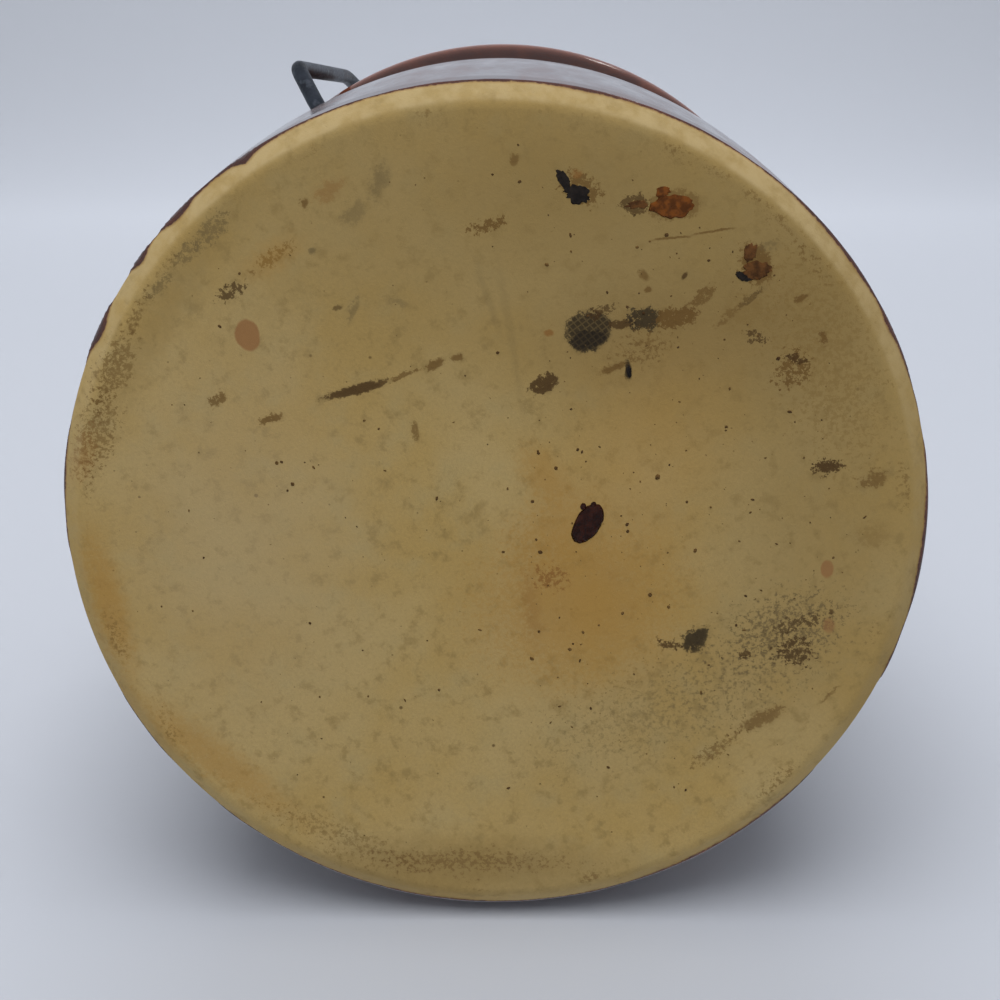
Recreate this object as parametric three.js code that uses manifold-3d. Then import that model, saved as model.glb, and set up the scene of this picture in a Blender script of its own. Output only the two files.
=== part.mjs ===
// A gently swelling stoneware crock with a rolled rim, a drop-in lid and a swinging wire bail.
// Millimetres, +Z up. The origin is the centre of the bare clay base, on the table.
// The bail's two ends turn in sockets on the X axis side of the wall.

import * as THREE from 'three';
import { mergeVertices } from 'three/addons/utils/BufferGeometryUtils.js';
import Module from 'manifold-3d';

// Crock
const CROCK_HEIGHT = 130;
const HEEL_RADIUS = 65;
const HEEL_WALL_THICKNESS = 7.5;
const BELLY_SWELL = 1.1;
const BELLY_HEIGHT = 47;
const NECK_DROP = 14;
const FLOOR_THICKNESS = 8;
const FOOT_BEVEL_WIDTH = 2.6;
const FOOT_BEVEL_HEIGHT = 2.2;
const FOOT_EDGE_ROUND = 1.2;
const RIM_OVERHANG = 2.3;
const RIM_ROLL_RADIUS = 4.2;
const RIM_UNDER_ANGLE = THREE.MathUtils.degToRad(-65);
const RIM_NECK_ROUND = 2;
const INNER_CORNER_RADIUS = 8;

// Ledge in the mouth that carries the lid
const LEDGE_DEPTH = 5.2;
const LEDGE_WIDTH = 3.6;
const LEDGE_EDGE_ROUND = 1;

// Lid
const LID_SIDE_CLEARANCE = 0.6;
const LID_SEAT_GAP = 0.3;
const LID_EDGE_THICKNESS = 5;
const LID_EDGE_ROUND = 1.6;
const LID_DOME_RISE = 6.5;
const LID_DOME_THICKNESS = 6;
const LID_RING_DEPTH = 7;
const LID_RING_THICKNESS = 5;
const LID_RING_ROUND = 1.2;
const LID_RING_CLEARANCE = 0.8;

// Knob
const KNOB_RADIUS = 12.5;
const KNOB_HEIGHT = 13;
const KNOB_EDGE_ROUND = 2.6;
const KNOB_CROWN_RISE = 2.2;
const KNOB_NECK_RADIUS = 8.5;
const KNOB_NECK_ROUND = 3.2;
const KNOB_UNDER_ROUND = 1.5;

// Bail
const WIRE_DIAMETER = 3.1;
const SOCKET_DROP = 49.4;
const SOCKET_DEPTH = 4.6;
const SOCKET_CLEARANCE = 0.35;
const BAIL_KNEE_OUT = 2;
const BAIL_KNEE_RADIUS = 4;
const BAIL_CORNER_OUT = 9;
const BAIL_CORNER_RISE = 4.2;
const BAIL_CORNER_RADIUS = 3.2;
const BAIL_LEG_LEAN = THREE.MathUtils.degToRad(4.3);
const BAIL_SHOULDER_RADIUS = 22;
const BAIL_CROWN_RADIUS = 110;
const BAIL_CROWN_SLOPE = THREE.MathUtils.degToRad(14);
const BAIL_SWING_CLEARANCE = 9;

// Facets
const CROCK_SIDES = 64;
const LID_SIDES = 56;
const WIRE_SIDES = 10;
const SOCKET_SIDES = 20;
const CHORD_ERROR = 0.08;

// Places that follow from the sizes above
const footRadius = HEEL_RADIUS - FOOT_BEVEL_WIDTH;
const insideRadius = HEEL_RADIUS - HEEL_WALL_THICKNESS;
const wallArcRadius = capSphere(BELLY_HEIGHT - FOOT_BEVEL_HEIGHT, BELLY_SWELL);
const wallArcCentre = new THREE.Vector2(HEEL_RADIUS + BELLY_SWELL - wallArcRadius, BELLY_HEIGHT);
const rimRadius = HEEL_RADIUS + RIM_OVERHANG;
const rollCentre = new THREE.Vector2(rimRadius - RIM_ROLL_RADIUS, CROCK_HEIGHT - RIM_ROLL_RADIUS);
const mouthRadius = insideRadius + LEDGE_WIDTH;
const ledgeHeight = CROCK_HEIGHT - LEDGE_DEPTH;

const lidRadius = mouthRadius - LID_SIDE_CLEARANCE;
const lidSeatHeight = ledgeHeight + LID_SEAT_GAP;
const lidEdgeTop = lidSeatHeight + LID_EDGE_THICKNESS;
const lidRingRadius = insideRadius - LID_RING_CLEARANCE;
const lidRingBottom = lidSeatHeight - LID_RING_DEPTH;
const lidDomeTop = lidEdgeTop + LID_DOME_RISE;
const knobTop = lidDomeTop + KNOB_HEIGHT;

const wireRadius = WIRE_DIAMETER / 2;
const socketHeight = CROCK_HEIGHT - SOCKET_DROP;
const socketRadius = wireRadius + SOCKET_CLEARANCE;
const socketWallRadius = onCircle(wallArcCentre, wallArcRadius, wallAngle(socketHeight)).x;
const socketBottomRadius = socketWallRadius - SOCKET_DEPTH;

// The farthest point of the rolled rim from the line through the two sockets sets the bail's length.
const rimReach = Math.hypot(rollCentre.x, rollCentre.y - socketHeight) + RIM_ROLL_RADIUS;
const bailCrownHeight = socketHeight + rimReach + wireRadius + BAIL_SWING_CLEARANCE;

const wasm = await Module();
wasm.setup();

function onCircle(centre, radius, angle) {
  return new THREE.Vector2(Math.cos(angle), Math.sin(angle)).multiplyScalar(radius).add(centre);
}

// The direction along a circle, towards rising angles.
function alongCircle(angle) {
  return new THREE.Vector2(-Math.sin(angle), Math.cos(angle));
}

// The angle on the wall's long arc at a height.
function wallAngle(height) {
  return Math.asin((height - wallArcCentre.y) / wallArcRadius);
}

// Adds an arc to a path whose current point is the arc's start.
function addArc(path, centre, radius, startAngle, endAngle) {
  const clockwise = endAngle < startAngle;
  const arc = new THREE.EllipseCurve(centre.x, centre.y, radius, radius, startAngle, endAngle, clockwise);
  path.add(arc);
  path.currentPoint.copy(arc.getPoint(1));
}

// Adds a line towards a corner and an arc that turns there towards the next point.
function lineRounding(path, corner, next, radius) {
  const arriving = corner.clone().sub(path.currentPoint).normalize();
  const leaving = next.clone().sub(corner).normalize();
  const turn = arriving.angleTo(leaving);
  const side = Math.sign(arriving.cross(leaving));
  const start = corner.clone().addScaledVector(arriving, -radius * Math.tan(turn / 2));
  const centre = start.clone().add(new THREE.Vector2(-arriving.y, arriving.x).multiplyScalar(side * radius));
  const startAngle = Math.atan2(start.y - centre.y, start.x - centre.x);
  const arcStart = onCircle(centre, radius, startAngle);
  path.lineTo(arcStart.x, arcStart.y);
  addArc(path, centre, radius, startAngle, startAngle + side * turn);
}

// The stops along a flat line. An arc is divided evenly, to within the chord error. A straight run is one.
function stopsAlong(line) {
  const stops = [];
  for (const piece of line.curves) {
    let count = 1;
    if (piece.isEllipseCurve) {
      const turn = Math.abs(piece.aEndAngle - piece.aStartAngle);
      count = Math.ceil(turn / (2 * Math.acos(1 - CHORD_ERROR / piece.xRadius)));
    }
    for (let i = 0; i < count; i += 1) {
      stops.push({ piece, from: i / count, share: 1 / count });
    }
  }
  return stops;
}

// A turned solid from an outline of radius against height that starts and ends on the axis.
function turned(outline, sides) {
  const points = stopsAlong(outline).map(({ piece, from }) => piece.getPoint(from));
  points.push(outline.currentPoint.clone());
  const geometry = new THREE.LatheGeometry(points, sides);
  return geometry.rotateX(Math.PI / 2);
}

// A closed solid for cutting, with shared corners merged and flat slivers on the axis left out.
function solidFrom(geometry) {
  const bare = geometry.clone();
  bare.deleteAttribute('normal');
  bare.deleteAttribute('uv');
  const merged = mergeVertices(bare);
  const corners = merged.index.array;
  const triangles = [];
  for (let i = 0; i < corners.length; i += 3) {
    const [a, b, c] = corners.slice(i, i + 3);
    if (a !== b && b !== c && c !== a) {
      triangles.push(a, b, c);
    }
  }
  return new wasm.Manifold(new wasm.Mesh({
    numProp: 3,
    vertProperties: new Float32Array(merged.attributes.position.array),
    triVerts: new Uint32Array(triangles),
  }));
}

function geometryFrom(solid) {
  const mesh = solid.getMesh();
  const geometry = new THREE.BufferGeometry();
  geometry.setAttribute('position', new THREE.BufferAttribute(mesh.vertProperties, mesh.numProp));
  geometry.setIndex(new THREE.BufferAttribute(mesh.triVerts, 1));
  geometry.computeVertexNormals();
  return geometry;
}

// The corner under the rim, where the wall's line at the neck meets the line into the roll.
function rimCorner(neck, neckDirection, rollStart, rollDirection) {
  const gap = rollStart.clone().sub(neck);
  const reach = gap.cross(rollDirection) / neckDirection.cross(rollDirection);
  return neck.clone().addScaledVector(neckDirection, reach);
}

// The pot's section: bare base, bevelled foot, swelling wall, neck, rolled rim, lid ledge and rounded inside.
function crockOutline() {
  const foot = new THREE.Vector2(footRadius, 0);
  const heel = new THREE.Vector2(HEEL_RADIUS, FOOT_BEVEL_HEIGHT);
  const heelLeaving = heel.clone().add(alongCircle(wallAngle(FOOT_BEVEL_HEIGHT)));
  const neckAngle = wallAngle(CROCK_HEIGHT - NECK_DROP);
  const neck = onCircle(wallArcCentre, wallArcRadius, neckAngle);
  const rollStart = onCircle(rollCentre, RIM_ROLL_RADIUS, RIM_UNDER_ANGLE);
  const underRim = rimCorner(neck, alongCircle(neckAngle), rollStart, alongCircle(RIM_UNDER_ANGLE));
  const lipAngle = Math.acos((mouthRadius - rollCentre.x) / RIM_ROLL_RADIUS);
  const ledgeOuter = new THREE.Vector2(mouthRadius, ledgeHeight);
  const ledgeInner = new THREE.Vector2(insideRadius, ledgeHeight);
  const cornerHeight = FLOOR_THICKNESS + INNER_CORNER_RADIUS;
  const insideTurn = new THREE.Vector2(insideRadius, cornerHeight);
  const insideCentre = new THREE.Vector2(insideRadius - INNER_CORNER_RADIUS, cornerHeight);

  const outline = new THREE.Path();
  outline.moveTo(0, 0);
  lineRounding(outline, foot, heel, FOOT_EDGE_ROUND);
  lineRounding(outline, heel, heelLeaving, FOOT_EDGE_ROUND);
  addArc(outline, wallArcCentre, wallArcRadius, wallAngle(outline.currentPoint.y), neckAngle);
  lineRounding(outline, underRim, rollStart, RIM_NECK_ROUND);
  outline.lineTo(rollStart.x, rollStart.y);
  addArc(outline, rollCentre, RIM_ROLL_RADIUS, RIM_UNDER_ANGLE, lipAngle);
  outline.lineTo(ledgeOuter.x, ledgeOuter.y);
  lineRounding(outline, ledgeInner, insideTurn, LEDGE_EDGE_ROUND);
  outline.lineTo(insideTurn.x, insideTurn.y);
  addArc(outline, insideCentre, INNER_CORNER_RADIUS, 0, -Math.PI / 2);
  outline.lineTo(0, FLOOR_THICKNESS);
  return outline;
}

// A blind round socket sunk into the wall on the side that direction names.
function socketCut(direction) {
  const length = SOCKET_DEPTH + BAIL_KNEE_OUT;
  const cut = new THREE.CylinderGeometry(socketRadius, socketRadius, length, SOCKET_SIDES);
  cut.rotateZ(Math.PI / 2);
  cut.translate(direction * (socketBottomRadius + length / 2), 0, socketHeight);
  return cut;
}

function crockBody() {
  let solid = solidFrom(turned(crockOutline(), CROCK_SIDES));
  for (const direction of [-1, 1]) {
    solid = solid.subtract(solidFrom(socketCut(direction)));
  }
  return geometryFrom(solid);
}

// The radius of a sphere whose cap has the given rise over the given radius.
function capSphere(radius, rise) {
  return (radius * radius + rise * rise) / (2 * rise);
}

// The lid's section, from the hollow under the dome out to the seat and up over the dome to the knob.
function lidOutline() {
  const domeSphere = capSphere(lidRadius, LID_DOME_RISE);
  const domeCentre = lidDomeTop - domeSphere;
  const hollowSphere = domeSphere - LID_DOME_THICKNESS;
  const ringInnerRadius = lidRingRadius - LID_RING_THICKNESS;
  const hollowAngle = Math.acos(ringInnerRadius / hollowSphere);
  const ringInner = new THREE.Vector2(ringInnerRadius, lidRingBottom);
  const ringOuter = new THREE.Vector2(lidRingRadius, lidRingBottom);
  const seatInner = new THREE.Vector2(lidRingRadius, lidSeatHeight);
  const seatOuter = new THREE.Vector2(lidRadius, lidSeatHeight);
  const edgeTop = new THREE.Vector2(lidRadius, lidEdgeTop);
  const domeFootAngle = Math.acos((lidRadius - LID_EDGE_ROUND) / domeSphere);
  const domeFoot = new THREE.Vector2(domeSphere, 0).rotateAround(new THREE.Vector2(), domeFootAngle);
  domeFoot.y += domeCentre;
  const domeEndAngle = Math.acos((KNOB_NECK_RADIUS + KNOB_NECK_ROUND) / domeSphere);
  const neckFoot = new THREE.Vector2(KNOB_NECK_RADIUS, lidDomeTop);
  const flareHeight = knobTop - KNOB_CROWN_RISE - 2 * KNOB_EDGE_ROUND;
  const neckTop = new THREE.Vector2(KNOB_NECK_RADIUS, flareHeight);
  const knobUnder = new THREE.Vector2(KNOB_RADIUS, flareHeight);
  const knobUpper = new THREE.Vector2(KNOB_RADIUS, knobTop - KNOB_CROWN_RISE);
  const crownRadius = KNOB_RADIUS - KNOB_EDGE_ROUND;
  const crownSphere = capSphere(crownRadius, KNOB_CROWN_RISE);
  const crownCentre = knobTop - crownSphere;
  const crownAngle = Math.acos(crownRadius / crownSphere);

  const outline = new THREE.Path();
  outline.absarc(0, domeCentre, hollowSphere, Math.PI / 2, hollowAngle, true);
  lineRounding(outline, ringInner, ringOuter, LID_RING_ROUND);
  lineRounding(outline, ringOuter, seatInner, LID_RING_ROUND);
  outline.lineTo(seatInner.x, seatInner.y);
  lineRounding(outline, seatOuter, edgeTop, LID_EDGE_ROUND);
  lineRounding(outline, edgeTop, domeFoot, LID_EDGE_ROUND);
  outline.absarc(0, domeCentre, domeSphere, domeFootAngle, domeEndAngle, false);
  lineRounding(outline, neckFoot, neckTop, KNOB_NECK_ROUND);
  lineRounding(outline, neckTop, knobUnder, KNOB_UNDER_ROUND);
  lineRounding(outline, knobUnder, knobUpper, KNOB_EDGE_ROUND);
  lineRounding(outline, knobUpper, new THREE.Vector2(crownRadius, knobUpper.y), KNOB_EDGE_ROUND);
  outline.absarc(0, crownCentre, crownSphere, crownAngle, Math.PI / 2, false);
  return outline;
}

// The bail's centre line in the XZ plane, from the tip in one socket over the crown to the other.
function bailCentreLine() {
  const tip = new THREE.Vector2(socketBottomRadius + SOCKET_CLEARANCE, socketHeight);
  const knee = new THREE.Vector2(socketWallRadius + BAIL_KNEE_OUT, socketHeight);
  const corner = new THREE.Vector2(socketWallRadius + BAIL_CORNER_OUT, socketHeight + BAIL_CORNER_RISE);
  const apexLift = BAIL_CROWN_RADIUS * (1 / Math.cos(BAIL_CROWN_SLOPE) - 1);
  const apex = new THREE.Vector2(0, bailCrownHeight + apexLift);
  const lean = Math.tan(BAIL_LEG_LEAN);
  const slope = Math.tan(BAIL_CROWN_SLOPE);
  const shoulderX = (corner.x - lean * (apex.y - corner.y)) / (1 - lean * slope);
  const shoulder = new THREE.Vector2(shoulderX, apex.y - slope * shoulderX);
  const across = (point) => new THREE.Vector2(-point.x, point.y);

  const line = new THREE.Path();
  line.moveTo(tip.x, tip.y);
  lineRounding(line, knee, corner, BAIL_KNEE_RADIUS);
  lineRounding(line, corner, shoulder, BAIL_CORNER_RADIUS);
  lineRounding(line, shoulder, apex, BAIL_SHOULDER_RADIUS);
  lineRounding(line, apex, across(shoulder), BAIL_CROWN_RADIUS);
  lineRounding(line, across(shoulder), across(corner), BAIL_SHOULDER_RADIUS);
  lineRounding(line, across(corner), across(knee), BAIL_CORNER_RADIUS);
  lineRounding(line, across(knee), across(tip), BAIL_KNEE_RADIUS);
  line.lineTo(-tip.x, tip.y);
  return line;
}

// A wire bent along a flat line in the XZ plane, stepped at the line's own stops.
class BentWire extends THREE.Curve {
  constructor(line) {
    super();
    this.stops = stopsAlong(line);
  }

  getPoint(t, target = new THREE.Vector3()) {
    const place = t * this.stops.length;
    const index = THREE.MathUtils.clamp(Math.floor(place), 0, this.stops.length - 1);
    const { piece, from, share } = this.stops[index];
    const point = piece.getPoint(from + share * (place - index));
    return target.set(point.x, 0, point.y);
  }

  getUtoTmapping(u) {
    return u;
  }
}

function bailWire() {
  const path = new BentWire(bailCentreLine());
  const section = new THREE.Shape();
  section.absarc(0, 0, wireRadius, 0, 2 * Math.PI, false);
  return new THREE.ExtrudeGeometry(section, {
    steps: path.stops.length,
    curveSegments: WIRE_SIDES / 2,
    extrudePath: path,
  });
}

function piece(name, geometry, finish) {
  const mesh = new THREE.Mesh(geometry, new THREE.MeshStandardMaterial(finish));
  mesh.name = name;
  return mesh;
}

const crock = new THREE.Group();
crock.add(
  piece('crock_body', crockBody(), { color: 0x4a2618, roughness: 0.25, metalness: 0 }),
  piece('crock_lid', turned(lidOutline(), LID_SIDES), { color: 0x52291a, roughness: 0.25, metalness: 0 }),
  piece('bail', bailWire(), { color: 0x3a3d42, roughness: 0.45, metalness: 0.9 }),
);

export default crock;
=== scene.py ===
"""Looks of a stoneware crock: brown glaze, bare buff base, drop-in lid and wire bail.

The crock lies on its side in the picture, with its base to the camera. In the model it stands on its base,
so the picture's floor is a wall beside it, and the camera looks up at the base from below the table.
"""

import logging
import math
from dataclasses import dataclass
from enum import Enum

import bmesh
import bpy
import numpy as np
from mathutils import Matrix, Vector


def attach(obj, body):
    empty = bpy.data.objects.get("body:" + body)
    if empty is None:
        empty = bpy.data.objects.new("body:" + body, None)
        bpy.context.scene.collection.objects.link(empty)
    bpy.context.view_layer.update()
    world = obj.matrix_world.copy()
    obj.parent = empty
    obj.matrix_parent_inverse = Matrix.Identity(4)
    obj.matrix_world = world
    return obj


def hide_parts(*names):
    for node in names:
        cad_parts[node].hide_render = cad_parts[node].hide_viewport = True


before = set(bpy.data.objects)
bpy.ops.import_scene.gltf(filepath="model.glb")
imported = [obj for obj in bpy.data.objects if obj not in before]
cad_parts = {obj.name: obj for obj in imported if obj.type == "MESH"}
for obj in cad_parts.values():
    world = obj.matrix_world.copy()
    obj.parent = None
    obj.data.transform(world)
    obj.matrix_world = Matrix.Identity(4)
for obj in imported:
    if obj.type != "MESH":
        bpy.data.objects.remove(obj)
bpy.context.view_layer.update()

log = logging.getLogger("crock")

MM = 0.001
UP = Vector((0, 0, 1))

# The picture's up and right on the base, seen from below. The +X bail end is 31 degrees left of picture-up.
PICTURE_TURN = math.radians(31)
PICTURE_UP = Vector((math.cos(PICTURE_TURN), math.sin(PICTURE_TURN), 0))
PICTURE_RIGHT = UP.cross(PICTURE_UP)

CLAY_SHINE = 0.12
GLAZE_SHINE = 0.5

CLOTH_STAINS = ("cloth_print", "cloth_print_low")
CLOTH_SPACING = 0.8
CLOTH_THREAD_SHARE = 0.8
CLOTH_SLANTS = (math.radians(40), math.radians(-55))

COVER = "glaze_cover"
BEND = "bend_radius"
GRAIN_RADIUS = "grain_radius"
SHARP_EDGE = math.radians(40)

# The Mix node's sockets for colours, by index.
MIX_SHARE = 0
MIX_FIRST = 6
MIX_SECOND = 7
MIX_RESULT = 2

Colour = tuple[float, float, float, float]
Socket = bpy.types.NodeSocket


def seen(red: float, green: float, blue: float) -> Colour:
    """A colour as a screen shows it, 0 to 255, as linear light."""
    def channel(value: float) -> float:
        share = value / 255
        return share / 12.92 if share <= 0.04045 else ((share + 0.055) / 1.055) ** 2.4
    return (channel(red), channel(green), channel(blue), 1.0)


class Tone(Enum):
    """The colours of the marks and the bloom on the bare base, and the painted sheen on its bevel."""

    BLACK = seen(34, 28, 21)
    DARK = seen(62, 43, 22)
    BROWN = seen(92, 68, 34)
    RUST = seen(116, 80, 40)
    TAN = seen(126, 90, 56)
    OCHRE = seen(142, 107, 50)
    OLIVE = seen(114, 92, 52)
    GREY = seen(96, 82, 54)
    HAZE = seen(122, 102, 62)
    # painted sheen: the pale colour laid on the bevel where the light falls
    PAINTED_SHEEN = seen(164, 146, 108)
    BLOOM = seen(150, 133, 100)


@dataclass(frozen=True)
class Stain:
    """A mark on the base, placed in mm along picture-right and picture-up, turned in degrees.

    Speckle says how far the mark is broken into grains, fill how densely the grains lie in its middle, and
    ragged how far its outline strays, in mm.
    """

    name: str
    right: float
    up: float
    length: float
    width: float
    turn: float
    tone: Tone
    strength: float = 0.9
    softness: float = 0.4
    speckle: float = 0.0
    fill: float = 1.0
    ragged: float = 1.5

    def inputs(self) -> dict[str, object]:
        """The inputs of the stain group that are this mark's own."""
        return {
            "Centre": (self.right, self.up, 0.0),
            "Turn": (0.0, 0.0, math.radians(self.turn)),
            "Size": (self.length, self.width, 1.0),
            "Ragged": (self.ragged, self.ragged, 0.0),
            "Inner": 1 - self.softness,
            "Outer": 1 + self.softness,
            "Speckle": self.speckle,
            "Fill": self.fill,
            "Tone": self.tone.value,
        }


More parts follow.
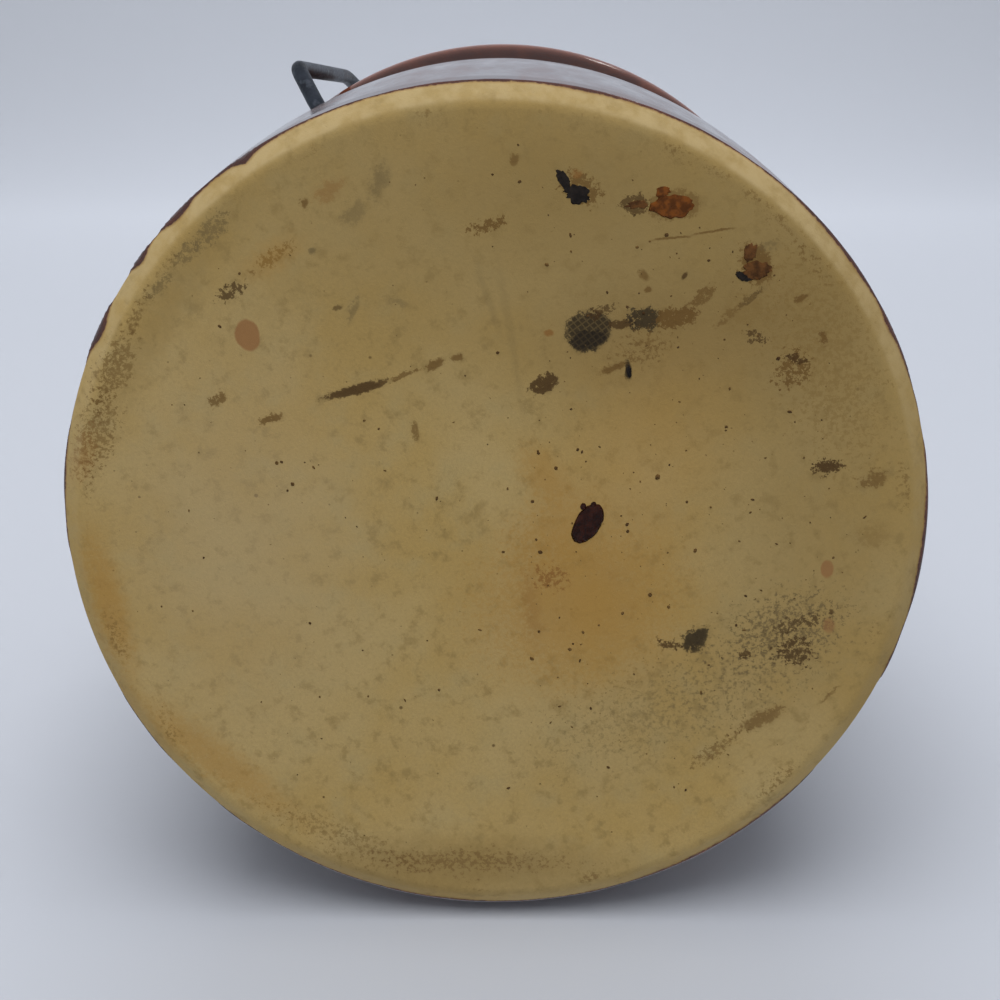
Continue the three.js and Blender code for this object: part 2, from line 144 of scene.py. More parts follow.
STAINS = (
    Stain("haze_upper", 8.1, 45.8, 52, 22, -6, Tone.HAZE, 0.6, 0.85),
    Stain("haze_right", 48.3, 7.6, 36, 16, 95, Tone.HAZE, 0.55, 0.85),
    Stain("haze_shard", 12.1, 49.8, 15, 8, 0, Tone.HAZE, 0.5, 0.85),
    # darker along the bottom edge of the base
    Stain("darker_bottom_edge", -6, -57.7, 24, 5, 0, Tone.HAZE, 0.7, 0.7),
    Stain("haze_streaks", 30.3, 31.7, 22, 12, 15, Tone.HAZE, 0.5, 0.85),
    Stain("bloom_left", -39.2, -1.8, 16, 24, 0, Tone.BLOOM, 0.45, 0.9),
    Stain("streak_grime", 21.2, 29.2, 12, 6.6, 9, Tone.BROWN, 0.22, 0.9),
    Stain("tan_right", 41.3, 30.2, 9, 8.6, -78, Tone.BROWN, 0.14, 0.9),
    Stain("haze_smoke", 28, -28.9, 20, 9.3, 28, Tone.GREY, 0.14, 0.9),
    Stain("ochre_zone", 13.2, -12.4, 14, 12, 10, Tone.OCHRE, 0.64, 0.9, 0.3, 0.9, 1.5),
    Stain("ochre_under_drop", 9, -0.2, 6.1, 4.6, 51, Tone.OCHRE, 0.4, 0.9, 0.3, 0.9, 1.5),
    Stain("ochre_upper", 20.1, 7.8, 17, 10, 60, Tone.OCHRE, 0.3, 0.9),
    Stain("smoke_low", 25.9, -30, 17, 7, 22, Tone.GREY, 0.4, 0.9, 1, 0.4, 1.5),
    Stain("smoke_right", 48.5, 25.9, 7, 17, 20, Tone.OLIVE, 0.55, 0.8, 0.9, 0.5, 1.5),
    Stain("edge_left", -59.1, -12.1, 11, 2.5, 100, Tone.OCHRE, 0.6, 0.8, 0.3, 0.8, 1),
    Stain("edge_lower_left", -44.8, -37.7, 14, 3, -40, Tone.OCHRE, 0.5, 0.8, 0.3, 0.8, 1),
    Stain("edge_bottom", -5, -56.4, 16, 2, 0, Tone.BROWN, 0.55, 0.8, 0.9, 0.55, 1.2),
    Stain("edge_bottom_left", -24.9, -51.5, 12, 2, -24, Tone.BROWN, 0.45, 0.8, 0.9, 0.5, 1.2),
    Stain("right_spot", 49.3, 9.8, 2.2, 1.1, 5, Tone.DARK, 0.9, 0.6, 0.9, 0.85, 0.6),
    Stain("right_olive", 56.3, 7.8, 2, 1.3, 20, Tone.BROWN, 0.7, 0.6, 0.7, 0.8, 0.5),
    Stain("right_ghost", 56.7, -0.9, 2.4, 1.9, 0, Tone.OLIVE, 0.5, 0.8, 0.5, 0.8, 0.8),
    Stain("rust_middle", 8.4, -7.9, 2.6, 2, 0, Tone.RUST, 0.8, 0.8, 0.9, 0.6, 0.8),
    Stain("ochre_edge", 5.7, -12.7, 5.4, 1.2, -83, Tone.RUST, 0.3, 0.9, 0.3, 0.8, 0.8),
    Stain("ochre_by_drop", 7.4, 8.4, 4.6, 2.6, -58, Tone.OCHRE, 0.5, 0.9, 0.2, 0.9, 0.9),
    Stain("smoke_lower_right", 44.9, -16.3, 8.3, 5.2, 21, Tone.GREY, 0.7, 0.8, 1, 0.62, 1.2),
    Stain("smoke_fine", 41.6, -20.5, 13.5, 8, 34, Tone.GREY, 0.45, 0.9, 1, 0.42, 1.5),
    Stain("smoke_core", 46, -19.8, 3.1, 2.1, -22, Tone.DARK, 0.75, 0.7, 1, 0.72, 0.8),
    Stain("smoke_knot", 38.4, -20.2, 1.1, 0.65, -26, Tone.DARK, 0.8, 0.6, 0.9, 0.85, 0.4),
    Stain("smoke_dash", 46.3, -15.2, 4.7, 1.2, 14, Tone.DARK, 0.6, 0.7, 1, 0.6, 0.8),
    Stain("dark_cluster", 30.9, -17.8, 2.2, 1.5, 39, Tone.BLACK, 0.9, 0.55, 0.7, 1, 0.8),
    Stain("dark_cluster_tail", 26.7, -18.7, 2.1, 0.74, -14, Tone.DARK, 0.85, 0.6, 1, 0.72, 0.7),
    Stain("low_streak", 41.4, -31.1, 3.8, 1.2, 30, Tone.BROWN, 0.75, 0.6, 0.6, 0.9, 0.5),
    Stain("low_streak_tail", 34.9, -36.2, 4.8, 1.1, 40, Tone.BROWN, 0.6, 0.7, 0.95, 0.6, 0.6),
    Stain("edge_scratch", 51.8, -26.9, 2.3, 0.25, 48, Tone.BROWN, 0.6, 0.4, 0.4, 0.8, 0.5),
    Stain("tan_oval", 50.2, -6.3, 1.4, 0.98, -87, Tone.TAN, 0.8, 0.14, 0, 1, 0.12),
    Stain("tan_oval_low", 51, -15.5, 1.2, 0.84, -83, Tone.TAN, 0.6, 0.3, 0, 1, 0.15),
    Stain("tan_low_spot", 51.2, -13.2, 0.43, 0.41, 49, Tone.DARK, 0.8, 0.5, 0.4, 1, 0.3),
    Stain("shard_halo", 12.5, 50.4, 3.3, 1.9, -32, Tone.BROWN, 0.8, 0.6, 1, 0.72, 0.8),
    Stain("shard_amber", 11.8, 52.4, 0.75, 0.62, 21, Tone.RUST, 0.75, 0.6, 0.2, 1, 0.4),
    Stain("amber_ring", 20, 48.3, 2.1, 1.4, 2, Tone.DARK, 0.75, 0.4, 1, 0.76, 0.5),
    Stain("amber_halo", 25.6, 48.2, 3.8, 2.2, 0, Tone.BROWN, 0.6, 0.3, 0.7, 0.9, 0.5),
    Stain("thin_line", 25.3, 43.5, 2.8, 0.2, 5, Tone.BROWN, 0.75, 0.4, 0.3, 0.9, 0.15),
    Stain("thin_line_end", 31.1, 44.4, 2.8, 0.18, 9, Tone.BROWN, 0.8, 0.4, 0.3, 0.9, 0.15),
    Stain("lump_halo", 37.4, 39.8, 3.1, 2.2, -55, Tone.BROWN, 0.85, 0.4, 0.7, 0.95, 0.6),
    Stain("lump_scribble", 39.2, 42.2, 1.5, 0.87, 31, Tone.GREY, 0.45, 0.6, 0.9, 0.6, 0.6),
    Stain("cloth_print", 13.7, 30.1, 3.3, 2.8, 15, Tone.BLACK, 0.9, 0.2, 0.6, 1, 0.5),
    Stain("rust_fleck", 8, 29.8, 0.65, 0.44, 6, Tone.RUST, 0.8, 0.4, 0.2, 1, 0.2),
    Stain("cloth_print_low", 13.8, 28.6, 2.7, 1.6, 14, Tone.BLACK, 0.85, 0.25, 0.6, 1, 0.5),
    Stain("print_top", 15.5, 33, 2.3, 0.8, 24, Tone.DARK, 0.75, 0.6, 1, 0.72, 0.5),
    Stain("print_neck", 18.4, 31.1, 1.9, 0.58, 4, Tone.DARK, 0.85, 0.5, 0.7, 0.95, 0.3),
    Stain("print_blob", 21.8, 31.9, 2.4, 1.8, 9, Tone.BLACK, 0.85, 0.45, 0.85, 0.9, 0.6),
    Stain("brush_streak", 26.3, 32.2, 3.2, 1.5, 10, Tone.BROWN, 0.9, 0.4, 0.9, 0.85, 0.5),
    Stain("brush_tip", 29.9, 34.9, 2.4, 0.95, 41, Tone.BROWN, 0.75, 0.5, 0.85, 0.78, 0.5),
    Stain("olive_streak", 34, 32.4, 2.6, 0.59, 41, Tone.BROWN, 0.65, 0.6, 0.8, 0.75, 0.5),
    Stain("olive_streak_top", 36.9, 34.8, 2.3, 0.51, 37, Tone.DARK, 0.7, 0.5, 0.7, 0.85, 0.5),
    Stain("olive_patch", 37, 33, 3.7, 2.5, 16, Tone.OLIVE, 0.5, 0.9, 0.6, 0.7, 1),
    Stain("small_cluster", 38, 29.3, 1.8, 0.72, -17, Tone.DARK, 0.75, 0.6, 1, 0.68, 0.6),
    Stain("right_dash", 44.1, 34.9, 1.1, 0.44, 31, Tone.BROWN, 0.85, 0.5, 0.5, 0.95, 0.3),
    Stain("below_print", 21.9, 27.6, 4.1, 2.4, 21, Tone.BROWN, 0.6, 0.8, 1, 0.48, 1),
    Stain("black_tick", 19.6, 24.4, 1.6, 0.51, -81, Tone.BLACK, 0.9, 0.35, 0.3, 1, 0.3),
    Stain("tick_smudge", 17.4, 24.7, 2, 0.52, 23, Tone.BROWN, 0.85, 0.5, 0.5, 0.95, 0.3),
    Stain("rust_blob", 7.5, 22.3, 2.3, 1.3, 35, Tone.DARK, 0.9, 0.45, 0.85, 0.95, 0.7),
    Stain("ring_mark", 43.5, 24.5, 2.8, 2.6, 43, Tone.BROWN, 0.8, 0.5, 1, 0.64, 0.8),
    Stain("ring_mark_top", 43.8, 26, 1.8, 0.66, -10, Tone.DARK, 0.8, 0.5, 0.9, 0.8, 0.5),
    Stain("right_edge_spot", 47.5, 29.1, 1.2, 0.71, -69, Tone.BROWN, 0.85, 0.5, 0.6, 0.9, 0.4),
    Stain("upper_spot", 21.5, 38.2, 0.88, 0.56, -54, Tone.BROWN, 0.75, 0.5, 0.3, 1, 0.2),
    Stain("upper_fleck", 27.3, 38.1, 0.6, 0.29, 56, Tone.DARK, 0.85, 0.4, 0, 1, 0.1),
    Stain("upper_fleck_low", 22.2, 36.1, 0.52, 0.43, 16, Tone.BROWN, 0.8, 0.5, 0.5, 1, 0.2),
    Stain("honey_oval", -35.6, 29.6, 2.3, 1.8, -80, Tone.TAN, 0.88, 0.1, 0, 1, 0.15),
    Stain("rust_left", -37.4, 36, 2.3, 0.99, 27, Tone.DARK, 0.8, 0.6, 1, 0.74, 0.6),
    Stain("rust_left_upper", -31.2, 40.9, 3.6, 1.1, 34, Tone.BROWN, 0.75, 0.6, 1, 0.6, 0.7),
    Stain("rust_left_tint", -31.4, 40.8, 3.9, 1.8, 30, Tone.OCHRE, 0.4, 0.9, 0, 1, 0.8),
    Stain("long_streak", -20.1, 21.5, 5.1, 0.74, 15, Tone.DARK, 0.9, 0.4, 0.7, 0.98, 0.25),
    Stain("streak_thin", -13.2, 23.6, 2.7, 0.33, 21, Tone.BROWN, 0.75, 0.6, 0.9, 0.8, 0.25),
    Stain("streak_dash", -8.5, 25.3, 1.5, 0.66, 27, Tone.BROWN, 0.85, 0.5, 0.6, 1, 0.3),
    Stain("streak_dot", -5.3, 26.3, 0.89, 0.59, 10, Tone.BROWN, 0.8, 0.5, 0.6, 1, 0.3),
    Stain("middle_smudge", -11.6, 15.1, 1.5, 0.59, -80, Tone.BROWN, 0.7, 0.6, 0.6, 0.9, 0.4),
    Stain("spot_left", -40.4, 20.2, 1.4, 0.87, 36, Tone.BROWN, 0.8, 0.6, 0.8, 0.88, 0.5),
    Stain("spot_left_low", -32.9, 17.1, 1.8, 0.68, 15, Tone.BROWN, 0.85, 0.6, 0.7, 0.92, 0.4),
    Stain("smoke_upper_left", -39.7, 44.7, 3.7, 1.5, 43, Tone.GREY, 0.8, 0.7, 1, 0.62, 1),
    Stain("smoke_left_upper", -43.6, 41.3, 2.4, 1.1, 35, Tone.GREY, 0.75, 0.7, 1, 0.62, 0.9),
    Stain("smoke_left", -47.8, 36.7, 2.4, 0.98, 39, Tone.GREY, 0.75, 0.7, 1, 0.62, 0.9),
    Stain("smoke_left_thin", -51.8, 32, 2.6, 0.91, 59, Tone.BROWN, 0.6, 0.7, 1, 0.56, 0.9),
    Stain("smoke_left_low", -55, 24.8, 5.6, 2.4, 60, Tone.BROWN, 0.7, 0.7, 1, 0.62, 1),
    Stain("smoke_far_left", -58.4, 15.4, 6.2, 2.9, 70, Tone.BROWN, 0.6, 0.8, 1, 0.6, 1),
    Stain("smoke_foot_left", -60.8, 11.6, 4.1, 1.9, 70, Tone.RUST, 0.5, 0.8, 0.8, 0.7, 1),
    Stain("left_band", -48.1, 32.2, 19.8, 2.8, 56, Tone.HAZE, 0.4, 0.9, 0, 1, 1.5),
    Stain("grey_top", -15.8, 51.5, 2.2, 1.1, 73, Tone.GREY, 0.6, 0.8, 0.4, 0.9, 0.8),
    Stain("grey_top_left", -19.5, 47.2, 1.9, 1.2, 47, Tone.GREY, 0.5, 0.8, 0.4, 0.9, 0.8),
    Stain("rust_top_left", -23, 50.4, 2.2, 1.2, 31, Tone.RUST, 0.45, 0.8, 0.5, 0.9, 0.8),
    Stain("rust_speck", -26.5, 48.5, 0.76, 0.56, 66, Tone.BROWN, 0.8, 0.6, 0.6, 0.95, 0.4),
    Stain("grey_fleck", -22.3, 33.6, 0.76, 0.36, 17, Tone.DARK, 0.65, 0.6, 0.4, 1, 0.3),
    Stain("grey_smear", -20.1, 33.3, 1.9, 0.43, 71, Tone.GREY, 0.55, 0.8, 0.5, 0.9, 0.5),
    Stain("grey_smear_right", -13.6, 34.3, 1.6, 0.51, -19, Tone.GREY, 0.4, 0.8, 0.4, 0.9, 0.5),
    Stain("olive_dot", -25.6, 41.8, 0.49, 0.42, 26, Tone.GREY, 0.8, 0.6, 0.3, 1, 0.3),
    Stain("wiped_line", -0.6, 34.4, 5.1, 0.5, -72, Tone.GREY, 0.2, 0.8, 0, 1, 0.3),
    Stain("wiped_line_long", 2.6, 28.8, 10.7, 0.58, -81, Tone.GREY, 0.18, 0.8, 0, 1, 0.3),
    Stain("rust_scribble", -0.8, 45.3, 2.8, 0.91, 19, Tone.BROWN, 0.85, 0.6, 1, 0.72, 0.7),
    Stain("top_spot", 3, 54.4, 0.87, 0.7, 71, Tone.BROWN, 0.7, 0.6, 0.6, 0.9, 0.4),
)


class DropGlaze(Enum):
    """The kinds of glaze that dripped onto the base in the kiln, as colour and roughness."""

    OXBLOOD = (seen(44, 20, 13), 0.16)
    SLAG = (seen(32, 26, 22), 0.34)
    AMBER = (seen(104, 58, 18), 0.4)
    UMBER = (seen(88, 56, 26), 0.48)

    @property
    def colour(self) -> Colour:
        """The drop's colour as linear light."""
        return self.value[0]

    @property
    def roughness(self) -> float:
        """How dull the drop is."""
        return self.value[1]


@dataclass(frozen=True)
class Drop:
    """A raised drop or crumb of glaze on the base, in mm, placed as a stain is."""

    name: str
    right: float
    up: float
    length: float
    width: float
    turn: float
    height: float
    glaze: DropGlaze
    ragged: float = 0.1


DROPS = (
    Drop("oxblood_drop", 14, 0.8, 3.5, 1.9, 59, 0.42, DropGlaze.OXBLOOD, 0.07),
    Drop("oxblood_bead_left", 13.3, 3.5, 0.55, 0.45, 90, 0.25, DropGlaze.OXBLOOD),
    Drop("oxblood_bead_right", 14.8, 3.8, 0.5, 0.4, 60, 0.22, DropGlaze.OXBLOOD),
    Drop("slag_shard_left", 9.9, 51.7, 1.7, 0.69, -58, 0.12, DropGlaze.SLAG, 0.22),
    Drop("slag_shard_right", 11.9, 49.7, 2, 1.2, -16, 0.12, DropGlaze.SLAG, 0.4),
    Drop("amber_patch", 25.4, 48, 3.3, 1.6, 1, 0.1, DropGlaze.AMBER, 0.22),
    Drop("amber_bump", 23.9, 50, 1.1, 0.7, 10, 0.08, DropGlaze.AMBER, 0.3),
    Drop("amber_crumb", 20.4, 48.2, 1.4, 0.63, 11, 0.06, DropGlaze.UMBER, 0.5),
    Drop("umber_top", 36.5, 41.5, 1.3, 0.94, 60, 0.1, DropGlaze.UMBER, 0.35),
    Drop("umber_lump", 37.5, 38.9, 2.1, 1.4, 0, 0.12, DropGlaze.UMBER, 0.35),
    Drop("slag_crescent", 35.7, 38, 1.2, 0.63, -25, 0.14, DropGlaze.SLAG, 0.2),
    Drop("slag_tick", 19.7, 24.1, 0.91, 0.36, -80, 0.1, DropGlaze.SLAG, 0.3),
)

# Single specks of kiln grit on the base: mm along picture-right and picture-up, then the speck's radius.
GRIT_PLACES = (
    (3.8, 51.4, 0.28), (11.0, 43.9, 0.24), (11.1, 41.6, 0.24), (13.0, 12.0, 0.24), (9.2, 9.5, 0.24),
    (2.0, 6.3, 0.24), (5.7, 4.3, 0.24), (19.9, 0.7, 0.24), (20.0, -0.4, 0.24), (24.3, 8.1, 0.35),
    (1.3, -3.7, 0.24), (6.9, -3.7, 0.28), (23.6, -10.6, 0.28), (26.5, -12.6, 0.28), (19.5, -13.6, 0.21),
    (-30.1, 7.0, 0.32), (-30.9, 6.0, 0.21), (-32.3, 10.3, 0.24), (-2.3, -16.4, 0.24),
)


@dataclass(frozen=True)
class GlazeRun:
    """Where the glaze laps over the foot, or with a negative reach stops short of it.

    The angle is in degrees from picture-up towards picture-right, and the reach in mm down the foot.
    """

    angle: float
    spread: float
    reach: float


GLAZE_RUNS = (
    GlazeRun(45, 12, 0.2),
    GlazeRun(62, 2, 0.7),
    GlazeRun(75, 6, -0.4),
    GlazeRun(95, 9, 0.7),
    GlazeRun(110, 3, 0.5),
    GlazeRun(121, 7, -1.2),
    GlazeRun(135, 5, 0.4),
    GlazeRun(148, 13, 0.6),
    GlazeRun(190, 18, 0.3),
    GlazeRun(228, 14, -0.5),
    GlazeRun(252, 8, -0.6),
    GlazeRun(277, 5, 0.5),
    GlazeRun(291, 3, -0.3),
    GlazeRun(297.6, 2.8, 1.3),
    GlazeRun(303.5, 2, -0.7),
    GlazeRun(308.4, 1.6, 1.1),
    GlazeRun(312, 1.3, -0.3),
    GlazeRun(316, 2.2, 0.8),
    GlazeRun(327.4, 1.3, 0.9),
)


class NodeBench:
    """Adds nodes to one node tree and links what they are given."""

    def __init__(self, tree: bpy.types.NodeTree) -> None:
        """Keeps the tree that the nodes go into."""
        self.tree = tree

    def add(self, kind: str, inputs: dict | None = None, **settings: object) -> bpy.types.Node:
        """Adds a node.

        Args:
            kind: the node's type name.
            inputs: values or sockets for its inputs, by name or index.
            settings: properties of the node.

        Returns:
            The new node.
        """
        node = self.tree.nodes.new(kind)
        for key, value in settings.items():
            setattr(node, key, value)
        for key, value in (inputs or {}).items():
            if isinstance(value, Socket):
                self.tree.links.new(value, node.inputs[key])
            else:
                node.inputs[key].default_value = value
        return node

    def math(self, operation: str, first: object, second: object = 0.0, clamp: bool = False) -> Socket:
        """A Math node's result."""
        settings = {"operation": operation, "use_clamp": clamp}
        return self.add("ShaderNodeMath", {0: first, 1: second}, **settings).outputs[0]

    def vector(self, operation: str, first: object, second: object) -> Socket:
        """A Vector Math node's vector."""
        return self.add("ShaderNodeVectorMath", {0: first, 1: second}, operation=operation).outputs["Vector"]

    def dot(self, first: object, second: object) -> Socket:
        """The dot product of two vectors."""
        node = self.add("ShaderNodeVectorMath", {0: first, 1: second}, operation="DOT_PRODUCT")
        return node.outputs["Value"]

    def length(self, vector: Socket) -> Socket:
        """The length of a vector."""
        return self.add("ShaderNodeVectorMath", {0: vector}, operation="LENGTH").outputs["Value"]

    def span(
            self, value: Socket, low: object, high: object, start: object = 0.0, end: object = 1.0) -> Socket:
        """A value eased from the low and high ends onto start and end."""
        inputs = {"Value": value, "From Min": low, "From Max": high, "To Min": start, "To Max": end}
        return self.add("ShaderNodeMapRange", inputs, interpolation_type="SMOOTHSTEP").outputs["Result"]

    def blend(self, share: object, first: object, second: object, kind: str = "MIX") -> Socket:
        """A mix of two colours."""
        inputs = {MIX_SHARE: share, MIX_FIRST: first, MIX_SECOND: second}
        return self.add("ShaderNodeMix", inputs, data_type="RGBA", blend_type=kind).outputs[MIX_RESULT]

    def noise(
            self, point: Socket, size: float, detail: float = 2.0, roughness: float = 0.5) -> bpy.types.Node:
        """A noise whose lumps are about size across, in the units of point."""
        inputs = {"Vector": point, "Scale": 1 / size, "Detail": detail, "Roughness": roughness}
        return self.add("ShaderNodeTexNoise", inputs)

    def use(self, group: bpy.types.NodeTree, inputs: dict) -> bpy.types.Node:
        """Places a shared group."""
        return self.add("ShaderNodeGroup", inputs, node_tree=group)


class SharedEffect:
    """A shader node group with named inputs and outputs."""

    def __init__(self, name: str, inputs: dict[str, str], outputs: dict[str, str]) -> None:
        """Makes the empty group.

        Args:
            name: the group's name.
            inputs: socket types by input name.
            outputs: socket types by output name.
        """
        self.tree = bpy.data.node_groups.new(name, "ShaderNodeTree")
        for label, kind in inputs.items():
            self.tree.interface.new_socket(label, in_out="INPUT", socket_type="NodeSocket" + kind)
        for label, kind in outputs.items():
            self.tree.interface.new_socket(label, in_out="OUTPUT", socket_type="NodeSocket" + kind)
        self.bench = NodeBench(self.tree)
        self.given = self.bench.add("NodeGroupInput").outputs
        self.result = self.bench.add("NodeGroupOutput").inputs

    def give(self, label: str, socket: Socket) -> None:
        """Links a result to an output."""
        self.tree.links.new(socket, self.result[label])


def stain_effect() -> bpy.types.NodeTree:
    """A ragged oval mark over a colour, solid or broken into grains.

    The colour below moves the mark by an unseen trifle, so that the marks are worked out one after another
    and few values wait at a time.

    Returns:
        A group that puts out the marked colour.
    """
    inputs = {"Below": "Color", "Point": "Vector", "Sway": "Vector", "Grain": "Float", "Centre": "Vector"}
    inputs |= {"Turn": "Vector", "Size": "Vector", "Ragged": "Vector", "Inner": "Float", "Outer": "Float"}
    inputs |= {"Speckle": "Float", "Fill": "Float", "Strength": "Float", "Tone": "Color"}
    effect = SharedEffect("stain", inputs, {"Color": "Color"})
    bench, given = effect.bench, effect.given
    trifle = bench.vector("MULTIPLY", given["Below"], (1e-5, 1e-5, 0.0))
    start = bench.vector("ADD", given["Point"], trifle)
    stray = {0: given["Sway"], 1: given["Ragged"], 2: start}
    strayed = bench.add("ShaderNodeVectorMath", stray, operation="MULTIPLY_ADD").outputs["Vector"]
    place = {"Vector": strayed, "Location": given["Centre"]}
    place |= {"Rotation": given["Turn"], "Scale": given["Size"]}
    local = bench.add("ShaderNodeMapping", place, vector_type="TEXTURE").outputs[0]
    solid = bench.span(bench.length(local), given["Inner"], given["Outer"], 1.0, 0.0)
    cover = bench.math("ADD", given["Grain"], bench.math("MULTIPLY", solid, given["Fill"]))
    grains = bench.math("MULTIPLY", bench.span(cover, 0.93, 1.07), bench.span(solid, 0.0, 0.15))
    mask = bench.add("ShaderNodeMix", {0: given["Speckle"], 2: solid, 3: grains}).outputs[0]
    share = bench.math("MULTIPLY", mask, given["Strength"])
    effect.give("Color", bench.blend(share, given["Below"], given["Tone"]))
    return effect.tree


def speck_effect() -> bpy.types.NodeTree:
    """Scattered round specks.

    Returns:
        A group that puts out the specks' mask.
    """
    inputs = {"Point": "Vector", "Spacing": "Float", "Radius": "Float", "Share": "Float"}
    effect = SharedEffect("specks", inputs, {"Mask": "Float"})
    bench, given = effect.bench, effect.given
    scale = bench.math("DIVIDE", 1.0, given["Spacing"])
    cells = bench.add("ShaderNodeTexVoronoi", {"Vector": given["Point"], "Scale": scale})
    chance = bench.add("ShaderNodeSeparateColor", {0: cells.outputs["Color"]}).outputs
    size = bench.math("MULTIPLY", given["Radius"], bench.span(chance["Green"], 0.0, 1.0, 0.35, 1.0))
    distance = bench.math("MULTIPLY", cells.outputs["Distance"], given["Spacing"])
    near = bench.span(distance, bench.math("MULTIPLY", size, 0.5), size, 1.0, 0.0)
    drawn = bench.math("LESS_THAN", chance["Red"], given["Share"])
    effect.give("Mask", bench.math("MULTIPLY", near, drawn))
    return effect.tree


@dataclass(frozen=True)
class ClayFinish:
    """Bare buff stoneware clay: smooth, dull, with iron specks and a faint bloom."""

    buff: Colour = seen(152, 132, 88)
    honey: Colour = seen(148, 125, 76)
    ash: Colour = seen(144, 128, 88)
    smudge: Colour = seen(118, 99, 60)
    speck: Colour = seen(74, 54, 28)
    roughness: float = 0.78

    def effect(self, specks: bpy.types.NodeTree) -> bpy.types.NodeTree:
        """Builds the clay.

        Args:
            specks: the shared speck group.

        Returns:
            A group that puts out the clay's colour, roughness and height.
        """
        made = SharedEffect("bare_clay", {"Point": "Vector"}, {
            "Color": "Color", "Roughness": "Float", "Height": "Float"})
        bench, point = made.bench, made.given["Point"]
        broad = bench.noise(point, 22, 3).outputs[0]
        cloud = bench.noise(point, 7, 4, 0.6).outputs[0]
        grit = bench.noise(point, 0.5, 3, 0.65).outputs[0]
        dust = bench.noise(point, 0.16, 1).outputs[0]
        colour = bench.blend(bench.span(broad, 0.35, 0.65), self.buff, self.honey)
        colour = bench.blend(bench.span(cloud, 0.45, 0.75, 0.0, 0.6), colour, self.ash)
        mottle = bench.noise(point, 2.6, 4, 0.66).outputs[0]
        colour = bench.blend(bench.span(mottle, 0.5, 0.7, 0.0, 0.55), colour, self.smudge)
        shade = bench.span(grit, 0.25, 0.75, 0.93, 1.05)
        shade = bench.math("MULTIPLY", shade, bench.span(dust, 0.2, 0.8, 0.96, 1.04))
        colour = bench.blend(1.0, colour, bench.add("ShaderNodeCombineColor", {
            0: shade, 1: shade, 2: shade}).outputs[0], "MULTIPLY")
        fine = bench.use(specks, {"Point": point, "Spacing": 1.6, "Radius": 0.2, "Share": 0.16}).outputs[0]
        large = bench.use(specks, {"Point": point, "Spacing": 4.5, "Radius": 0.42, "Share": 0.2}).outputs[0]
        dark = bench.math("MAXIMUM", bench.math("MULTIPLY", fine, 0.6), bench.math("MULTIPLY", large, 0.75))
        made.give("Color", bench.blend(dark, colour, self.speck))
        made.give("Roughness", bench.span(grit, 0.3, 0.7, self.roughness - 0.06, self.roughness + 0.08))
        lift = bench.math("MULTIPLY_ADD", grit, 0.6)
        bench.tree.links.new(bench.math("MULTIPLY", dust, 0.35), lift.node.inputs[2])
        made.give("Height", bench.math("SUBTRACT", lift, bench.math("MULTIPLY", dark, 0.5)))
        return made.tree


@dataclass(frozen=True)
class GlazeFinish:
    """Glossy brown slip glaze: dark where it is thick, red-brown where it thins over an edge."""

    thick: Colour = seen(50, 27, 20)
    streak: Colour = seen(78, 40, 26)
    thin: Colour = seen(122, 66, 42)
    fleck: Colour = seen(128, 78, 44)
    roughness: float = 0.14

    def effect(self, specks: bpy.types.NodeTree) -> bpy.types.NodeTree:
        """Builds the glaze.

        Args:
            specks: the shared speck group.

        Returns:
            A group that puts out the glaze's colour, roughness and height.
        """
        made = SharedEffect("slip_glaze", {"Point": "Vector", "Thin": "Float"}, {
            "Color": "Color", "Roughness": "Float", "Height": "Float"})
        bench, point = made.bench, made.given["Point"]
        drawn = bench.vector("MULTIPLY", point, (1.0, 1.0, 0.3))
        runs = bench.noise(drawn, 9, 4, 0.6).outputs[0]
        cloud = bench.noise(point, 26, 2).outputs[0]
        peel = bench.noise(point, 1.6, 2).outputs[0]
        mottle = bench.math("MULTIPLY", bench.span(runs, 0.4, 0.72), bench.span(cloud, 0.3, 0.7, 0.3, 1.0))
        colour = bench.blend(mottle, self.thick, self.streak)
        worn = bench.math("MULTIPLY", made.given["Thin"], bench.span(peel, 0.2, 0.8, 0.75, 1.0))
        colour = bench.blend(worn, colour, self.thin)
        flecks = bench.use(specks, {"Point": point, "Spacing": 2.6, "Radius": 0.3, "Share": 0.18}).outputs[0]
        made.give("Color", bench.blend(bench.math("MULTIPLY", flecks, 0.5), colour, self.fleck))
        made.give("Roughness", bench.span(runs, 0.3, 0.7, self.roughness - 0.03, self.roughness + 0.08))
        made.give("Height", bench.math("SUBTRACT", peel, bench.math("MULTIPLY", flecks, 0.4)))
        return made.tree


@dataclass(frozen=True)
class GrimeRing:
    """Patches of grime in grains along the base's edge, in mm from its centre."""

    starts: float = 57.6
    full: float = 61.2
    fades: float = 61.7
    ends: float = 62.4
    patch: float = 12
    density: float = 0.46
    grain_edge: float = 0.07
    strength: float = 0.6

    def over(self, bench: NodeBench, flat: Socket, grain: Socket, colour: Socket) -> Socket:
        """Lays the grime over a colour.

        Args:
            bench: the material's nodes.
            flat: the place on the base along picture-right and picture-up, in mm.
            grain: the grain that breaks up the stains.
            colour: the colour below.

        Returns:
            The grimy colour.
        """
        reach = bench.length(flat)
        inside = bench.span(reach, self.fades, self.ends, 1.0, 0.0)
        ring = bench.math("MULTIPLY", bench.span(reach, self.starts, self.full), inside)
        patches = bench.span(bench.noise(flat, self.patch, 2).outputs[0], 0.42, 0.66)
        ring = bench.math("MULTIPLY", ring, patches)
        bar = bench.math("SUBTRACT", 1.0, bench.math("MULTIPLY", ring, self.density))
        low = bench.math("SUBTRACT", bar, self.grain_edge)
        grime = bench.span(grain, low, bench.math("ADD", bar, self.grain_edge))
        grime = bench.math("MULTIPLY", grime, bench.math("MULTIPLY", ring, self.strength))
        return bench.blend(grime, colour, Tone.BROWN.value)


